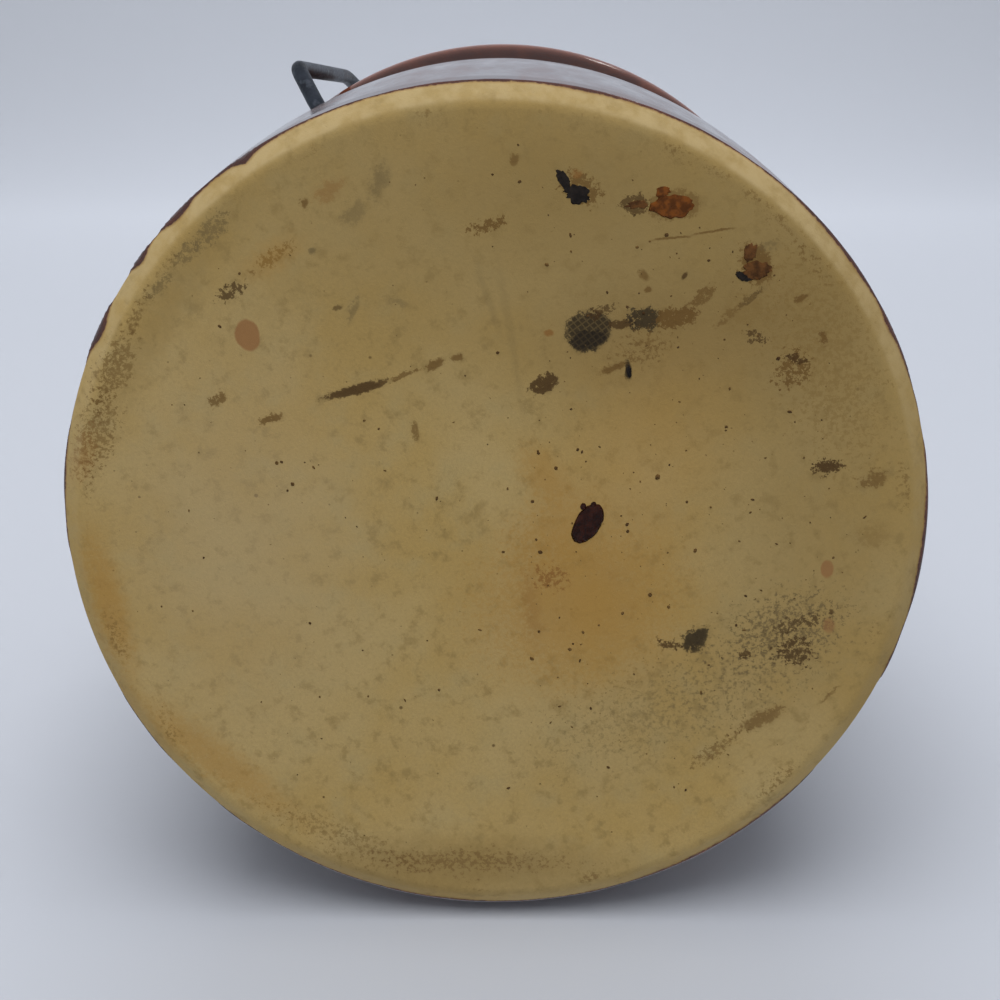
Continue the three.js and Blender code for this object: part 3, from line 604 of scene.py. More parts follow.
@dataclass(frozen=True)
class BevelPaintedSheen:
    """A painted sheen on the bevel: paler clay in uneven patches, strongest on the picture's upper side,
    where the light falls, in mm.
    """

    lowest: float = 0.1
    full_height: float = 0.5
    inner_reach: float = 60
    full_reach: float = 61
    patch: float = 3.5
    patch_least: float = 0.35
    upper_full: float = 55
    least: float = 0.12
    most: float = 0.65

    def over(self, bench: NodeBench, point: Socket, colour: Socket) -> Socket:
        """Paints sheen onto the bevel's clay: paler, most on the picture's upper side, where the light falls.

        Args:
            bench: the material's nodes.
            point: the place on the piece, in mm.
            colour: the colour below.

        Returns:
            The paled colour.
        """
        height = bench.add("ShaderNodeSeparateXYZ", {0: point}).outputs[2]
        raised = bench.span(height, self.lowest, self.full_height)
        outer = bench.span(bench.length(point), self.inner_reach, self.full_reach)
        bevel = bench.math("MULTIPLY", raised, outer)
        cloud = bench.noise(point, self.patch, 3, 0.6).outputs[0]
        bevel = bench.math("MULTIPLY", bevel, bench.span(cloud, 0.32, 0.62, self.patch_least, 1.0))
        # painted sheen, strongest towards picture-up, where the light falls
        upper = bench.span(bench.dot(point, PICTURE_UP), 0.0, self.upper_full, self.least, self.most)
        return bench.blend(bench.math("MULTIPLY", bevel, upper), colour, Tone.PAINTED_SHEEN.value)


class Workshop:
    """The finishes and shared effects that the pieces are dressed with."""

    def __init__(self) -> None:
        """Builds each shared effect once."""
        self.specks = speck_effect()
        self.stain = stain_effect()
        self.clay = ClayFinish().effect(self.specks)
        self.glaze = GlazeFinish().effect(self.specks)

    @staticmethod
    def blank(name: str) -> tuple[bpy.types.Material, NodeBench, bpy.types.Node]:
        """A new material.

        Args:
            name: the material's name.

        Returns:
            The material, a bench on its nodes and its Principled shader.
        """
        material = bpy.data.materials.new(name)
        material.use_nodes = True
        bench = NodeBench(material.node_tree)
        return material, bench, material.node_tree.nodes["Principled BSDF"]

    @staticmethod
    def millimetres(bench: NodeBench) -> Socket:
        """The place on the piece, in mm."""
        place = bench.add("ShaderNodeTexCoord").outputs["Object"]
        return bench.vector("MULTIPLY", place, (1 / MM,) * 3)

    @staticmethod
    def raise_by(bench: NodeBench, shader: bpy.types.Node, height: Socket, depth: float) -> None:
        """Bumps a shader's normal by a height, whose full range is depth in mm."""
        bump = bench.add("ShaderNodeBump", {"Height": height, "Distance": depth * MM, "Strength": 1.0})
        bench.tree.links.new(bump.outputs[0], shader.inputs["Normal"])

    @staticmethod
    def weave(bench: NodeBench, flat: Socket) -> Socket:
        """Two crossed sets of thin lines, as a coarse cloth leaves."""
        sets = []
        for slant in CLOTH_SLANTS:
            across = bench.dot(flat, (math.cos(slant), math.sin(slant), 0.0))
            wave = bench.math("SINE", bench.math("MULTIPLY", across, 2 * math.pi / CLOTH_SPACING))
            sets.append(bench.span(wave, 0.45, 0.95))
        return bench.math("MAXIMUM", *sets)

    def stained(self, bench: NodeBench, point: Socket, colour: Socket) -> Socket:
        """Lays the base's stains over the clay.

        Args:
            bench: the material's nodes.
            point: the place on the piece, in mm.
            colour: the clay's colour.

        Returns:
            The stained colour.
        """
        right = bench.dot(point, PICTURE_RIGHT)
        up = bench.dot(point, PICTURE_UP)
        flat = bench.add("ShaderNodeCombineXYZ", {0: right, 1: up}).outputs[0]
        sway = bench.vector("SUBTRACT", bench.noise(flat, 1.7, 4, 0.68).outputs[1], (0.5, 0.5, 0.5))
        sway = bench.vector("MULTIPLY", sway, (4.5, 4.5, 0.0))
        grain = bench.span(bench.noise(flat, 0.85, 4, 0.8).outputs[0], 0.31, 0.69)
        threads = self.weave(bench, flat)
        for stain in STAINS:
            strength = stain.strength
            if stain.name in CLOTH_STAINS:
                strength = bench.span(threads, 0.0, 1.0, strength, CLOTH_THREAD_SHARE * strength)
            inputs = {"Below": colour, "Point": flat, "Sway": sway, "Grain": grain, "Strength": strength}
            colour = bench.use(self.stain, inputs | stain.inputs()).outputs[0]
        return GrimeRing().over(bench, flat, grain, colour)

    def stoneware(self, name: str, rim_height: float, stains: bool) -> bpy.types.Material:
        """Bare clay under a slip glaze, parted by the piece's glaze cover.

        Args:
            name: the material's name.
            rim_height: the height in mm over which the glaze thins at the top.
            stains: whether the base's stains are laid on the clay.

        Returns:
            The material.
        """
        material, bench, shader = self.blank(name)
        point = self.millimetres(bench)
        cover = bench.add("ShaderNodeAttribute", attribute_name=COVER).outputs["Fac"]
        fray = bench.math("SUBTRACT", bench.noise(point, 0.9, 3, 0.6).outputs[0], 0.5)
        edge = bench.math("MULTIPLY_ADD", fray, 0.35)
        bench.tree.links.new(cover, edge.node.inputs[2])
        glazed = bench.span(edge, -0.07, 0.07)
        height = bench.add("ShaderNodeSeparateXYZ", {0: point}).outputs[2]
        top = bench.span(height, rim_height - 3.5, rim_height + 0.5)
        lip = bench.span(edge, 0.0, 0.5, 0.12, 0.0)
        glaze = bench.use(self.glaze, {"Point": point, "Thin": bench.math("MAXIMUM", top, lip)}).outputs
        clay = bench.use(self.clay, {"Point": point}).outputs
        bare = clay["Color"]
        if stains:
            bare = self.stained(bench, point, bare)
            # painted sheen on the bevel, paler towards the picture's upper side
            bare = BevelPaintedSheen().over(bench, point, bare)
        scorch = bench.span(edge, -0.5, 0.0, 0.0, 0.4)
        bare = bench.blend(scorch, bare, Tone.RUST.value)
        links = bench.tree.links
        links.new(bench.blend(glazed, bare, glaze["Color"]), shader.inputs["Base Color"])
        dull = bench.add("ShaderNodeMix", {0: glazed, 2: clay["Roughness"], 3: glaze["Roughness"]})
        links.new(dull.outputs[0], shader.inputs["Roughness"])
        links.new(bench.span(glazed, 0.0, 1.0, CLAY_SHINE, GLAZE_SHINE), shader.inputs["Specular IOR Level"])
        peel = bench.math("MULTIPLY", glaze["Height"], 0.35)
        relief = bench.add("ShaderNodeMix", {0: glazed, 2: clay["Height"], 3: peel})
        self.raise_by(bench, shader, relief.outputs[0], 0.07)
        return material

    def drop(self, glaze: DropGlaze) -> bpy.types.Material:
        """A glassy drop of glaze, darker and lighter in patches, with tiny burst bubbles."""
        material, bench, shader = self.blank("drop_" + glaze.name.lower())
        point = self.millimetres(bench)
        cloud = bench.noise(point, 1.1, 3).outputs[0]
        spread = {"Point": point, "Spacing": 0.8, "Radius": 0.16, "Share": 0.35}
        pits = bench.use(self.specks, spread).outputs[0]
        deep = tuple(channel * 0.45 for channel in glaze.colour[:3]) + (1.0,)
        colour = bench.blend(bench.span(cloud, 0.35, 0.65), glaze.colour, deep)
        links = bench.tree.links
        links.new(bench.blend(bench.math("MULTIPLY", pits, 0.5), colour, deep), shader.inputs["Base Color"])
        dull = bench.span(cloud, 0.3, 0.7, glaze.roughness, glaze.roughness + 0.15)
        links.new(dull, shader.inputs["Roughness"])
        shader.inputs["Specular IOR Level"].default_value = CLAY_SHINE
        self.raise_by(bench, shader, bench.math("SUBTRACT", cloud, bench.math("MULTIPLY", pits, 0.5)), 0.12)
        return material

    def grit(self) -> bpy.types.Material:
        """Dark baked-on kiln grit, brown to black from grain to grain."""
        material, bench, shader = self.blank("kiln_grit")
        point = self.millimetres(bench)
        tint = bench.noise(point, 1.4, 1).outputs[0]
        colour = bench.blend(bench.span(tint, 0.35, 0.65), Tone.BROWN.value, Tone.DARK.value)
        bench.tree.links.new(colour, shader.inputs["Base Color"])
        shader.inputs["Roughness"].default_value = 0.7
        shader.inputs["Specular IOR Level"].default_value = 0.15
        self.raise_by(bench, shader, bench.noise(point, 0.2, 2).outputs[0], 0.05)
        return material

    def wire(self) -> bpy.types.Material:
        """Dull darkened steel wire with a little rust and rubbed bright places."""
        material, bench, shader = self.blank("bail_steel")
        point = self.millimetres(bench)
        cloud = bench.noise(point, 6, 3).outputs[0]
        fine = bench.noise(point, 0.5, 3, 0.6).outputs[0]
        rub = bench.noise(point, 2.2, 2).outputs[0]
        colour = bench.blend(bench.span(cloud, 0.35, 0.65), seen(64, 68, 75), seen(40, 42, 46))
        colour = bench.blend(bench.span(rub, 0.56, 0.7, 0.0, 0.7), colour, seen(92, 96, 103))
        rust = bench.math("MULTIPLY", bench.span(fine, 0.55, 0.68), bench.span(cloud, 0.5, 0.66))
        links = bench.tree.links
        links.new(bench.blend(rust, colour, seen(88, 58, 40)), shader.inputs["Base Color"])
        links.new(bench.span(rust, 0.0, 1.0, 0.85, 0.1), shader.inputs["Metallic"])
        links.new(bench.span(fine, 0.3, 0.7, 0.38, 0.6), shader.inputs["Roughness"])
        self.raise_by(bench, shader, fine, 0.06)
        return material


class SectionLine:
    """Half the section of a turned piece, in mm of radius and height, from the axis round to the axis."""

    def __init__(self, radius: float, height: float, chord: float = 0.004) -> None:
        """Starts the line.

        Args:
            radius: where it starts, out from the axis.
            height: where it starts, above the table.
            chord: how far a straight step may cut into an arc.
        """
        self.points = [np.array((radius, height), float)]
        self.chord = chord

    def line_to(self, radius: float, height: float) -> None:
        """Adds a straight run."""
        self.points.append(np.array((radius, height), float))

    def arc(self, centre: tuple[float, float], radius: float, start: float, end: float) -> None:
        """Adds an arc about a centre, between two angles from the radius axis towards up."""
        step = 2 * math.acos(1 - self.chord / radius)
        count = max(2, math.ceil(abs(end - start) / step))
        for angle in np.linspace(start, end, count + 1):
            self.points.append(np.array(centre) + radius * np.array((math.cos(angle), math.sin(angle))))

    def round_corner(self, corner: tuple[float, float], leave: tuple[float, float], radius: float) -> None:
        """Adds a run to a corner that is rounded towards the next point.

        Args:
            corner: the sharp corner.
            leave: the point that the line goes on to.
            radius: the rounding.
        """
        arrive = np.array(corner) - self.points[-1]
        arrive /= np.linalg.norm(arrive)
        depart = np.array(leave) - np.array(corner)
        depart /= np.linalg.norm(depart)
        side = math.copysign(1, arrive[0] * depart[1] - arrive[1] * depart[0])
        turn = math.acos(float(np.clip(arrive @ depart, -1, 1)))
        first = np.array(corner) - arrive * radius * math.tan(turn / 2)
        centre = first + side * radius * np.array((-arrive[1], arrive[0]))
        start = math.atan2(first[1] - centre[1], first[0] - centre[0])
        self.arc(tuple(centre), radius, start, start + side * turn)

    def measured(self) -> tuple[np.ndarray, np.ndarray, np.ndarray]:
        """The line by its length.

        Returns:
            The length along the line at each point, the points, and the outward direction at each.
        """
        points = np.array(self.points)
        steps = np.linalg.norm(np.diff(points, axis=0), axis=1)
        keep = np.concatenate(([True], steps > 1e-6))
        points = points[keep]
        along = np.concatenate(([0.0], np.cumsum(np.linalg.norm(np.diff(points, axis=0), axis=1))))
        tangent = np.gradient(points, along, axis=0)
        tangent /= np.linalg.norm(tangent, axis=1)[:, None]
        outward = np.stack((tangent[:, 1], -tangent[:, 0]), axis=1)
        return along, points, outward


def rows_along(spans: list[tuple[float, float, float]]) -> np.ndarray:
    """Places for the rings of a turned mesh.

    Args:
        spans: start, end and step of each stretch along the section.

    Returns:
        The places in rising order.
    """
    places = []
    for start, end, step in spans:
        count = max(2, math.ceil((end - start) / step) + 1)
        places.append(np.linspace(start, end, count))
    return np.unique(np.round(np.concatenate(places), 4))


def turned_mesh(name: str, rings: np.ndarray, cover: np.ndarray) -> bpy.types.Object:
    """A closed turned mesh whose first and last rings are points on the axis.

    Args:
        name: the object's name.
        rings: places in mm by ring, side and axis.
        cover: the glaze cover of each ring in mm, below zero where the clay is bare.

    Returns:
        The object, smooth and with its faces outwards.
    """
    count, sides = rings.shape[:2]
    inner = rings[1:-1].reshape(-1, 3)
    points = np.concatenate((rings[0, :1], inner, rings[-1, :1])) * MM
    values = np.concatenate((cover[:1], np.repeat(cover[1:-1], sides), cover[-1:]))
    last = len(points) - 1
    faces = []
    for side in range(sides):
        after = (side + 1) % sides
        faces.append((0, 1 + side, 1 + after))
        for ring in range(count - 3):
            low, high = 1 + ring * sides, 1 + (ring + 1) * sides
            faces.append((low + side, high + side, high + after, low + after))
        top = 1 + (count - 3) * sides
        faces.append((top + side, last, top + after))
    mesh = bpy.data.meshes.new(name)
    mesh.from_pydata(points.tolist(), [], faces)
    mesh.attributes.new(COVER, "FLOAT", "POINT").data.foreach_set("value", values.astype(np.float32))
    return placed(name, mesh)


def placed(name: str, mesh: bpy.types.Mesh) -> bpy.types.Object:
    """Links a new object that holds a mesh, with its faces outwards and smooth."""
    shell = bmesh.new()
    shell.from_mesh(mesh)
    bmesh.ops.recalc_face_normals(shell, faces=shell.faces)
    shell.to_mesh(mesh)
    shell.free()
    mesh.shade_smooth()
    made = bpy.data.objects.new(name, mesh)
    bpy.context.scene.collection.objects.link(made)
    return made


def settled(made: bpy.types.Object) -> bpy.types.Object:
    """Turns an object's modifiers into plain mesh and takes them off."""
    graph = bpy.context.evaluated_depsgraph_get()
    mesh = bpy.data.meshes.new_from_object(made.evaluated_get(graph))
    made.modifiers.clear()
    made.data = mesh
    return made


def declare(piece: bpy.types.Object, body: str, slot: str, *nodes: str) -> None:
    """Ties a piece to the body that it rides on and hides the CAD nodes that it stands for."""
    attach(piece, body)
    if nodes:
        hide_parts(*nodes)
    log.info("%s: %d faces on %s", piece.name, len(piece.data.polygons), body)


@dataclass
class Crock:
    """The pot: bare base, bevelled foot, swelling glazed wall, rolled rim, lid ledge and inside, in mm."""

    height: float = 130
    heel_radius: float = 65
    heel_height: float = 2.2
    belly_radius: float = 66.1
    belly_height: float = 47
    neck_height: float = 116
    neck_round: float = 2
    inside_radius: float = 57.5
    floor: float = 8
    foot_radius: float = 62.4
    foot_round: float = 1.2
    base_edge_round: float = 3.2
    dish: float = 0.5
    dish_radius: float = 61.5
    roll_radius: float = 4.2
    roll_centre: tuple[float, float] = (63.05, 125.8)
    roll_start: float = math.radians(-65)
    mouth_radius: float = 61.1
    ledge_height: float = 124.8
    ledge_round: float = 1
    inner_corner: float = 8
    socket_height: float = 80.6
    socket_radius: float = 1.9
    socket_bottom: float = 60.9
    socket_flare: float = 0.9
    socket_sides: int = 40
    socket_steps: int = 7
    cutter_length: float = 2
    glaze_edge: float = 0.1
    lip_width: float = 0.7
    lip_thickness: float = 0.3
    wall_coat: float = 0.2
    sides: int = 384
    seed: int = 11

    @property
    def wall_arc(self) -> float:
        """The radius of the wall's long arc in the section."""
        rise, swell = self.belly_height - self.heel_height, self.belly_radius - self.heel_radius
        return (rise * rise + swell * swell) / (2 * swell)

    def wall_angle(self, height: float) -> float:
        """The angle on the wall's arc at a height."""
        return math.asin((height - self.belly_height) / self.wall_arc)

    def wall_radius(self, height: float) -> float:
        """The wall's radius at a height."""
        return self.belly_radius - self.wall_arc * (1 - math.cos(self.wall_angle(height)))

    def under_rim(self, neck: np.ndarray, roll: np.ndarray) -> np.ndarray:
        """The sharp corner where the wall's line at the neck meets the line into the roll."""
        angle = self.wall_angle(self.neck_height)
        wall_way = np.array((-math.sin(angle), math.cos(angle)))
        roll_way = np.array((-math.sin(self.roll_start), math.cos(self.roll_start)))
        shares = np.linalg.solve(np.stack((wall_way, -roll_way), axis=1), roll - neck)
        return neck + shares[0] * wall_way

    def section(self) -> SectionLine:
        """The pot's half section."""
        heel = np.array((self.heel_radius, self.heel_height))
        heel_angle = self.wall_angle(self.heel_height)
        neck = np.array((self.wall_radius(self.neck_height), self.neck_height))
        roll_way = np.array((math.cos(self.roll_start), math.sin(self.roll_start)))
        roll = np.array(self.roll_centre) + self.roll_radius * roll_way
        lip = math.acos((self.mouth_radius - self.roll_centre[0]) / self.roll_radius)
        corner_height = self.floor + self.inner_corner
        inside = (self.inside_radius, corner_height)
        line = SectionLine(0, 0)
        line.round_corner((self.foot_radius, 0), heel, self.base_edge_round)
        line.round_corner(heel, heel + (-math.sin(heel_angle), math.cos(heel_angle)), self.foot_round)
        wall_centre = (self.belly_radius - self.wall_arc, self.belly_height)
        wall_start = self.wall_angle(float(line.points[-1][1]))
        line.arc(wall_centre, self.wall_arc, wall_start, self.wall_angle(self.neck_height))
        line.round_corner(self.under_rim(neck, roll), roll, self.neck_round)
        line.arc(self.roll_centre, self.roll_radius, self.roll_start, lip)
        line.line_to(self.mouth_radius, self.ledge_height)
        line.round_corner((self.inside_radius, self.ledge_height), inside, self.ledge_round)
        line.arc((self.inside_radius - self.inner_corner, corner_height), self.inner_corner, 0, -math.pi / 2)
        line.line_to(0, self.floor)
        return line

    def glaze_wander(self, angles: np.ndarray) -> np.ndarray:
        """How far the glaze's edge strays down the foot, in mm.

        Args:
            angles: angles from picture-up towards picture-right, in radians.

        Returns:
            The reach at each angle.
        """
        rng = np.random.default_rng(self.seed)
        reach = np.zeros_like(angles)
        for waves in range(2, 60):
            size = 0.22 / waves ** 0.8
            reach += size * np.sin(waves * angles + rng.uniform(0, 2 * math.pi))
        for run in GLAZE_RUNS:
            gap = (np.degrees(angles) - run.angle + 180) % 360 - 180
            reach += run.reach * np.exp(-((gap / run.spread) ** 2))
        return reach

    def glaze_lift(self, past: np.ndarray) -> np.ndarray:
        """How far the glaze stands off the clay, by the distance past its edge, in mm."""
        rise = np.clip(past / self.lip_width, 0, 1)
        roll = np.sqrt(np.clip(1 - (1 - rise) ** 2, 0, 1))
        thinning = np.exp(-np.clip(past - self.lip_width, 0, None) / 4)
        return roll * (self.wall_coat + (self.lip_thickness - self.wall_coat) * thinning)

    def build(self) -> bpy.types.Object:
        """Builds the pot.

        Returns:
            The pot's object.
        """
        along, points, outward = self.section().measured()
        outside = len(points) // 2
        edge_height = self.heel_height + self.glaze_edge
        heel = float(np.interp(edge_height, points[:outside, 1], along[:outside]))
        rim_start = heel + self.roll_centre[1] - self.heel_height - self.roll_radius
        rim_end = rim_start + math.pi * self.roll_radius + 12
        inside_end = along[-1] - self.inside_radius - self.inner_corner
        rows = rows_along([
            (0, heel - 8, 2.5),
            (heel - 8, heel + 3, 0.26),
            (heel - 0.6, heel + 1, 0.09),
            (heel + 3, heel + 12, 0.9),
            (heel + 12, rim_start - 3, 3.4),
            (rim_start - 3, rim_end, 0.55),
            (rim_end, inside_end, 4.5),
            (inside_end, along[-1] - 44, 1.2),
            (along[-1] - 44, along[-1], 4),
        ])
        angles = np.linspace(0, 2 * math.pi, self.sides, endpoint=False)
        window = np.clip((7 - np.abs(rows - heel)) / 4.5, 0, 1)
        window = window * window * (3 - 2 * window)
        place = rows[:, None] - window[:, None] * self.glaze_wander(angles)[None, :]
        radius = np.interp(place, along, points[:, 0])
        height = np.interp(place, along, points[:, 1])
        fade = np.clip((rim_start - 2 - rows) / 40, 0, 1)
        lift = (self.glaze_lift(rows - heel) * fade)[:, None]
        radius = radius + lift * np.interp(place, along, outward[:, 0])
        height = height + lift * np.interp(place, along, outward[:, 1])
        hollow = self.dish * (1 - np.clip(radius / self.dish_radius, 0, 1) ** 4)
        height = np.where(rows[:, None] < heel - 2, height + hollow, height)
        turn = angles + PICTURE_TURN
        rings = np.stack((radius * np.cos(turn), radius * np.sin(turn), height), axis=2)
        pot = turned_mesh("stoneware_pot", rings, rows - heel)
        for direction in (-1, 1):
            self.sink_socket(pot, direction)
        pot.data.set_sharp_from_angle(angle=SHARP_EDGE)
        return pot

    def sink_socket(self, pot: bpy.types.Object, direction: int) -> None:
        """Sinks a blind socket with a softened mouth for one end of the bail.

        Args:
            pot: the pot's object.
            direction: the side of the pot, 1 or -1 along X.
        """
        wall = self.wall_radius(self.socket_height) + self.wall_coat
        mouth = wall - self.socket_flare
        outer = wall + self.cutter_length
        flared = np.linspace(mouth, wall, self.socket_steps)
        depths = np.array([self.socket_bottom, self.socket_bottom, *flared, outer, outer])
        flare = np.clip((depths - mouth) / self.socket_flare, 0, 1)
        widths = self.socket_radius + self.socket_flare * (1 - np.sqrt(1 - flare ** 2))
        widths[0] = widths[-1] = 0
        angles = np.linspace(0, 2 * math.pi, self.socket_sides, endpoint=False)
        rings = np.stack((
            np.repeat(direction * depths[:, None], self.socket_sides, axis=1),
            widths[:, None] * np.cos(angles),
            self.socket_height + widths[:, None] * np.sin(angles)), axis=2)
        cutter = turned_mesh("socket_cutter", rings, np.full(len(depths), 3.0))
        cut = pot.modifiers.new("socket", "BOOLEAN")
        cut.operation = "DIFFERENCE"
        cut.solver = "EXACT"
        cut.object = cutter
        settled(pot)
        bpy.data.objects.remove(cutter)

    def dress(self, pot: bpy.types.Object, shop: Workshop) -> None:
        """Glazes the pot and stains its base."""
        pot.data.materials.clear()
        pot.data.materials.append(shop.stoneware("crock_stoneware", self.height - self.roll_radius, True))
        declare(pot, "crock", "glazed_stoneware", "crock_body")

    def base_height(self, right: float, up: float) -> float:
        """The height of the dished base under a place on it, in mm."""
        return self.dish * (1 - min(math.hypot(right, up) / self.dish_radius, 1) ** 4)


class GrowthTree:
    """A Geometry Nodes tree with named inputs, which ends in real geometry with a material."""

    def __init__(self, name: str, inputs: dict[str, str]) -> None:
        """Makes the empty tree.

        Args:
            name: the tree's name.
            inputs: socket types by input name.
        """
        self.tree = bpy.data.node_groups.new(name, "GeometryNodeTree")
        face = self.tree.interface
        face.new_socket("Geometry", in_out="INPUT", socket_type="NodeSocketGeometry")
        face.new_socket("Geometry", in_out="OUTPUT", socket_type="NodeSocketGeometry")
        self.keys = {}
        for label, kind in inputs.items():
            socket = face.new_socket(label, in_out="INPUT", socket_type="NodeSocket" + kind)
            self.keys[label] = socket.identifier
        self.bench = NodeBench(self.tree)
        self.given = self.bench.add("NodeGroupInput").outputs
        self.out = self.bench.add("NodeGroupOutput").inputs

    def finish(self, geometry: Socket, material: bpy.types.Material) -> None:
        """Ends the tree in smooth real geometry with a material."""
        real = self.bench.add("GeometryNodeRealizeInstances", {0: geometry}).outputs[0]
        smooth = self.bench.add("GeometryNodeSetShadeSmooth", {0: real}).outputs[0]
        inputs = {"Geometry": smooth, "Material": material}
        dressed = self.bench.add("GeometryNodeSetMaterial", inputs).outputs[0]
        self.tree.links.new(dressed, self.out[0])

    def grow(self, host: bpy.types.Object, values: dict[str, object]) -> None:
        """Runs the tree on an object and keeps the result as its plain mesh.

        Args:
            host: the object that carries the points or the path.
            values: the tree's inputs by name.
        """
        modifier = host.modifiers.new(self.tree.name, "NODES")
        modifier.node_group = self.tree
        for label, value in values.items():
            modifier[self.keys[label]] = value
        settled(host)


@dataclass
class KilnDrops:
    """The raised glaze drops and grit on the base, in mm."""

    crock: Crock
    around: int = 80
    inward: int = 9
    sink: float = 0.25
    grit_flat: float = 0.3
    grit_reach: float = 57
    stray_grit: int = 420
    seed: int = 5

    def blob(self, shell: bmesh.types.BMesh, drop: Drop, slot: int, rng: np.random.Generator) -> None:
        """Adds one drop to a shell.

        Args:
            shell: the mesh that takes it.
            drop: its place, size and glaze.
            slot: its material's index.
            rng: what makes its outline uneven.
        """
        angles = np.linspace(0, 2 * math.pi, self.around, endpoint=False)
        outline = np.ones(self.around)
        for waves in range(2, 22):
            size = drop.ragged * 0.5 / waves ** 0.85
            outline += size * np.sin(waves * angles + rng.uniform(0, 2 * math.pi))
        outline = np.clip(outline, 0.35, 1.6)
        turn = math.radians(drop.turn)
        ground = self.crock.base_height(drop.right, drop.up)
        rings = []
        for share in np.linspace(1, 1 / self.inward, self.inward):
            rise = drop.height * (1 - share ** 3) ** 0.6
            ring = []
            for angle, reach in zip(angles, outline):
                long = drop.length * reach * share * math.cos(angle)
                wide = drop.width * reach * share * math.sin(angle)
                right = drop.right + long * math.cos(turn) - wide * math.sin(turn)
                up = drop.up + long * math.sin(turn) + wide * math.cos(turn)
                place = PICTURE_RIGHT * right + PICTURE_UP * up + UP * max(0.0, ground - rise)
                ring.append(shell.verts.new(place * MM))
            rings.append(ring)
        middle = PICTURE_RIGHT * drop.right + PICTURE_UP * drop.up
        tip = shell.verts.new((middle + UP * max(0.0, ground - drop.height)) * MM)
        root = shell.verts.new((middle + UP * (ground + self.sink)) * MM)
        for index in range(self.around):
            after = (index + 1) % self.around
            faces = [(rings[0][index], root, rings[0][after]), (rings[-1][after], tip, rings[-1][index])]
            for outer, inner in zip(rings, rings[1:]):
                faces.append((outer[index], outer[after], inner[after], inner[index]))
            for corners in faces:
                shell.faces.new(corners).material_index = slot

    def build_drops(self) -> bpy.types.Object:
        """Builds all the drops as one piece."""
        rng = np.random.default_rng(self.seed)
        kinds = list(DropGlaze)
        shell = bmesh.new()
        for drop in DROPS:
            self.blob(shell, drop, kinds.index(drop.glaze), rng)
        mesh = bpy.data.meshes.new("base_glaze_drops")
        shell.to_mesh(mesh)
        shell.free()
        return placed("base_glaze_drops", mesh)

    def grit_specks(self) -> list[tuple[float, float, float]]:
        """The specks of grit, placed ones first, then strays that lie thickest on the picture's right.

        Returns:
            Each speck's place along picture-right and picture-up and its radius.
        """
        rng = np.random.default_rng(self.seed)
        specks = list(GRIT_PLACES)
        while len(specks) < len(GRIT_PLACES) + self.stray_grit:
            right, up = rng.uniform(-self.grit_reach, self.grit_reach, 2)
            weight = 0.25 + 0.75 * (right > 5) * (abs(up) < 45)
            if math.hypot(right, up) < self.grit_reach and rng.uniform() < weight:
                specks.append((right, up, 0.07 + 0.2 * rng.uniform() ** 3))
        return specks

    def build_grit(self, material: bpy.types.Material) -> bpy.types.Object:
        """Builds the grit: a lumpy grain on each speck's place.

        Args:
            material: the grit's material, which the tree sets.

        Returns:
            The grit's object.
        """
        specks = self.grit_specks()
        places = []
        for right, up, radius in specks:
            ground = max(self.crock.base_height(right, up), radius * self.grit_flat)
            places.append((PICTURE_RIGHT * right + PICTURE_UP * up + UP * ground) * MM)
        mesh = bpy.data.meshes.new("base_grit")
        mesh.from_pydata(places, [], [])
        radii = np.array([speck[2] * MM for speck in specks], np.float32)
        mesh.attributes.new(GRAIN_RADIUS, "FLOAT", "POINT").data.foreach_set("value", radii)
        grit = bpy.data.objects.new("base_grit", mesh)
        bpy.context.scene.collection.objects.link(grit)
        tree = GrowthTree("grit_on_places", {"Flatness": "Float", "Seed": "Int"})
        tree.finish(self.grains(tree), material)
        tree.grow(grit, {"Flatness": self.grit_flat, "Seed": self.seed})
        return grit

    @staticmethod
    def grains(tree: GrowthTree) -> Socket:
        """Adds the nodes that set an uneven grain on each point of the tree's geometry.

        Args:
            tree: the tree that takes them.

        Returns:
            The grains, as instances.
        """
        bench, seed = tree.bench, tree.given["Seed"]
        points = bench.add("GeometryNodeMeshToPoints", {"Mesh": tree.given["Geometry"]}).outputs[0]
        ball = bench.add("GeometryNodeMeshIcoSphere", {"Radius": 1.0, "Subdivisions": 2}).outputs["Mesh"]
        lumps = bench.noise(bench.add("GeometryNodeInputPosition").outputs[0], 0.9, 1).outputs[1]
        lumps = bench.vector("SUBTRACT", lumps, (0.5, 0.5, 0.5))
        shove = bench.vector("MULTIPLY", lumps, (2.0, 2.0, 0.0))
        grain = bench.add("GeometryNodeSetPosition", {"Geometry": ball, "Offset": shove}).outputs[0]
        named = bench.add("GeometryNodeInputNamedAttribute", {"Name": GRAIN_RADIUS}, data_type="FLOAT")
        widths = {0: (0.6, 0.6, 1.0), 1: (1.4, 1.4, 1.0), "Seed": seed}
        uneven = bench.add("FunctionNodeRandomValue", widths, data_type="FLOAT_VECTOR").outputs[0]
        flat = bench.add("ShaderNodeCombineXYZ", {0: 1.0, 1: 1.0, 2: tree.given["Flatness"]}).outputs[0]
        shape = {0: bench.vector("MULTIPLY", uneven, flat), "Scale": named.outputs[0]}
        size = bench.add("ShaderNodeVectorMath", shape, operation="SCALE").outputs["Vector"]
        turns = {0: (0.0, 0.0, 0.0), 1: (0.0, 0.0, 2 * math.pi), "Seed": seed}
        spin = bench.add("FunctionNodeRandomValue", turns, data_type="FLOAT_VECTOR").outputs[0]
        inputs = {"Points": points, "Instance": grain, "Rotation": spin, "Scale": size}
        return bench.add("GeometryNodeInstanceOnPoints", inputs).outputs[0]

    def dress(self, drops: bpy.types.Object, grit: bpy.types.Object, shop: Workshop) -> None:
        """Glazes the drops and ties both pieces to the pot."""
        for glaze in DropGlaze:
            drops.data.materials.append(shop.drop(glaze))
        declare(drops, "crock", "glazed_stoneware")
        declare(grit, "crock", "glazed_stoneware")


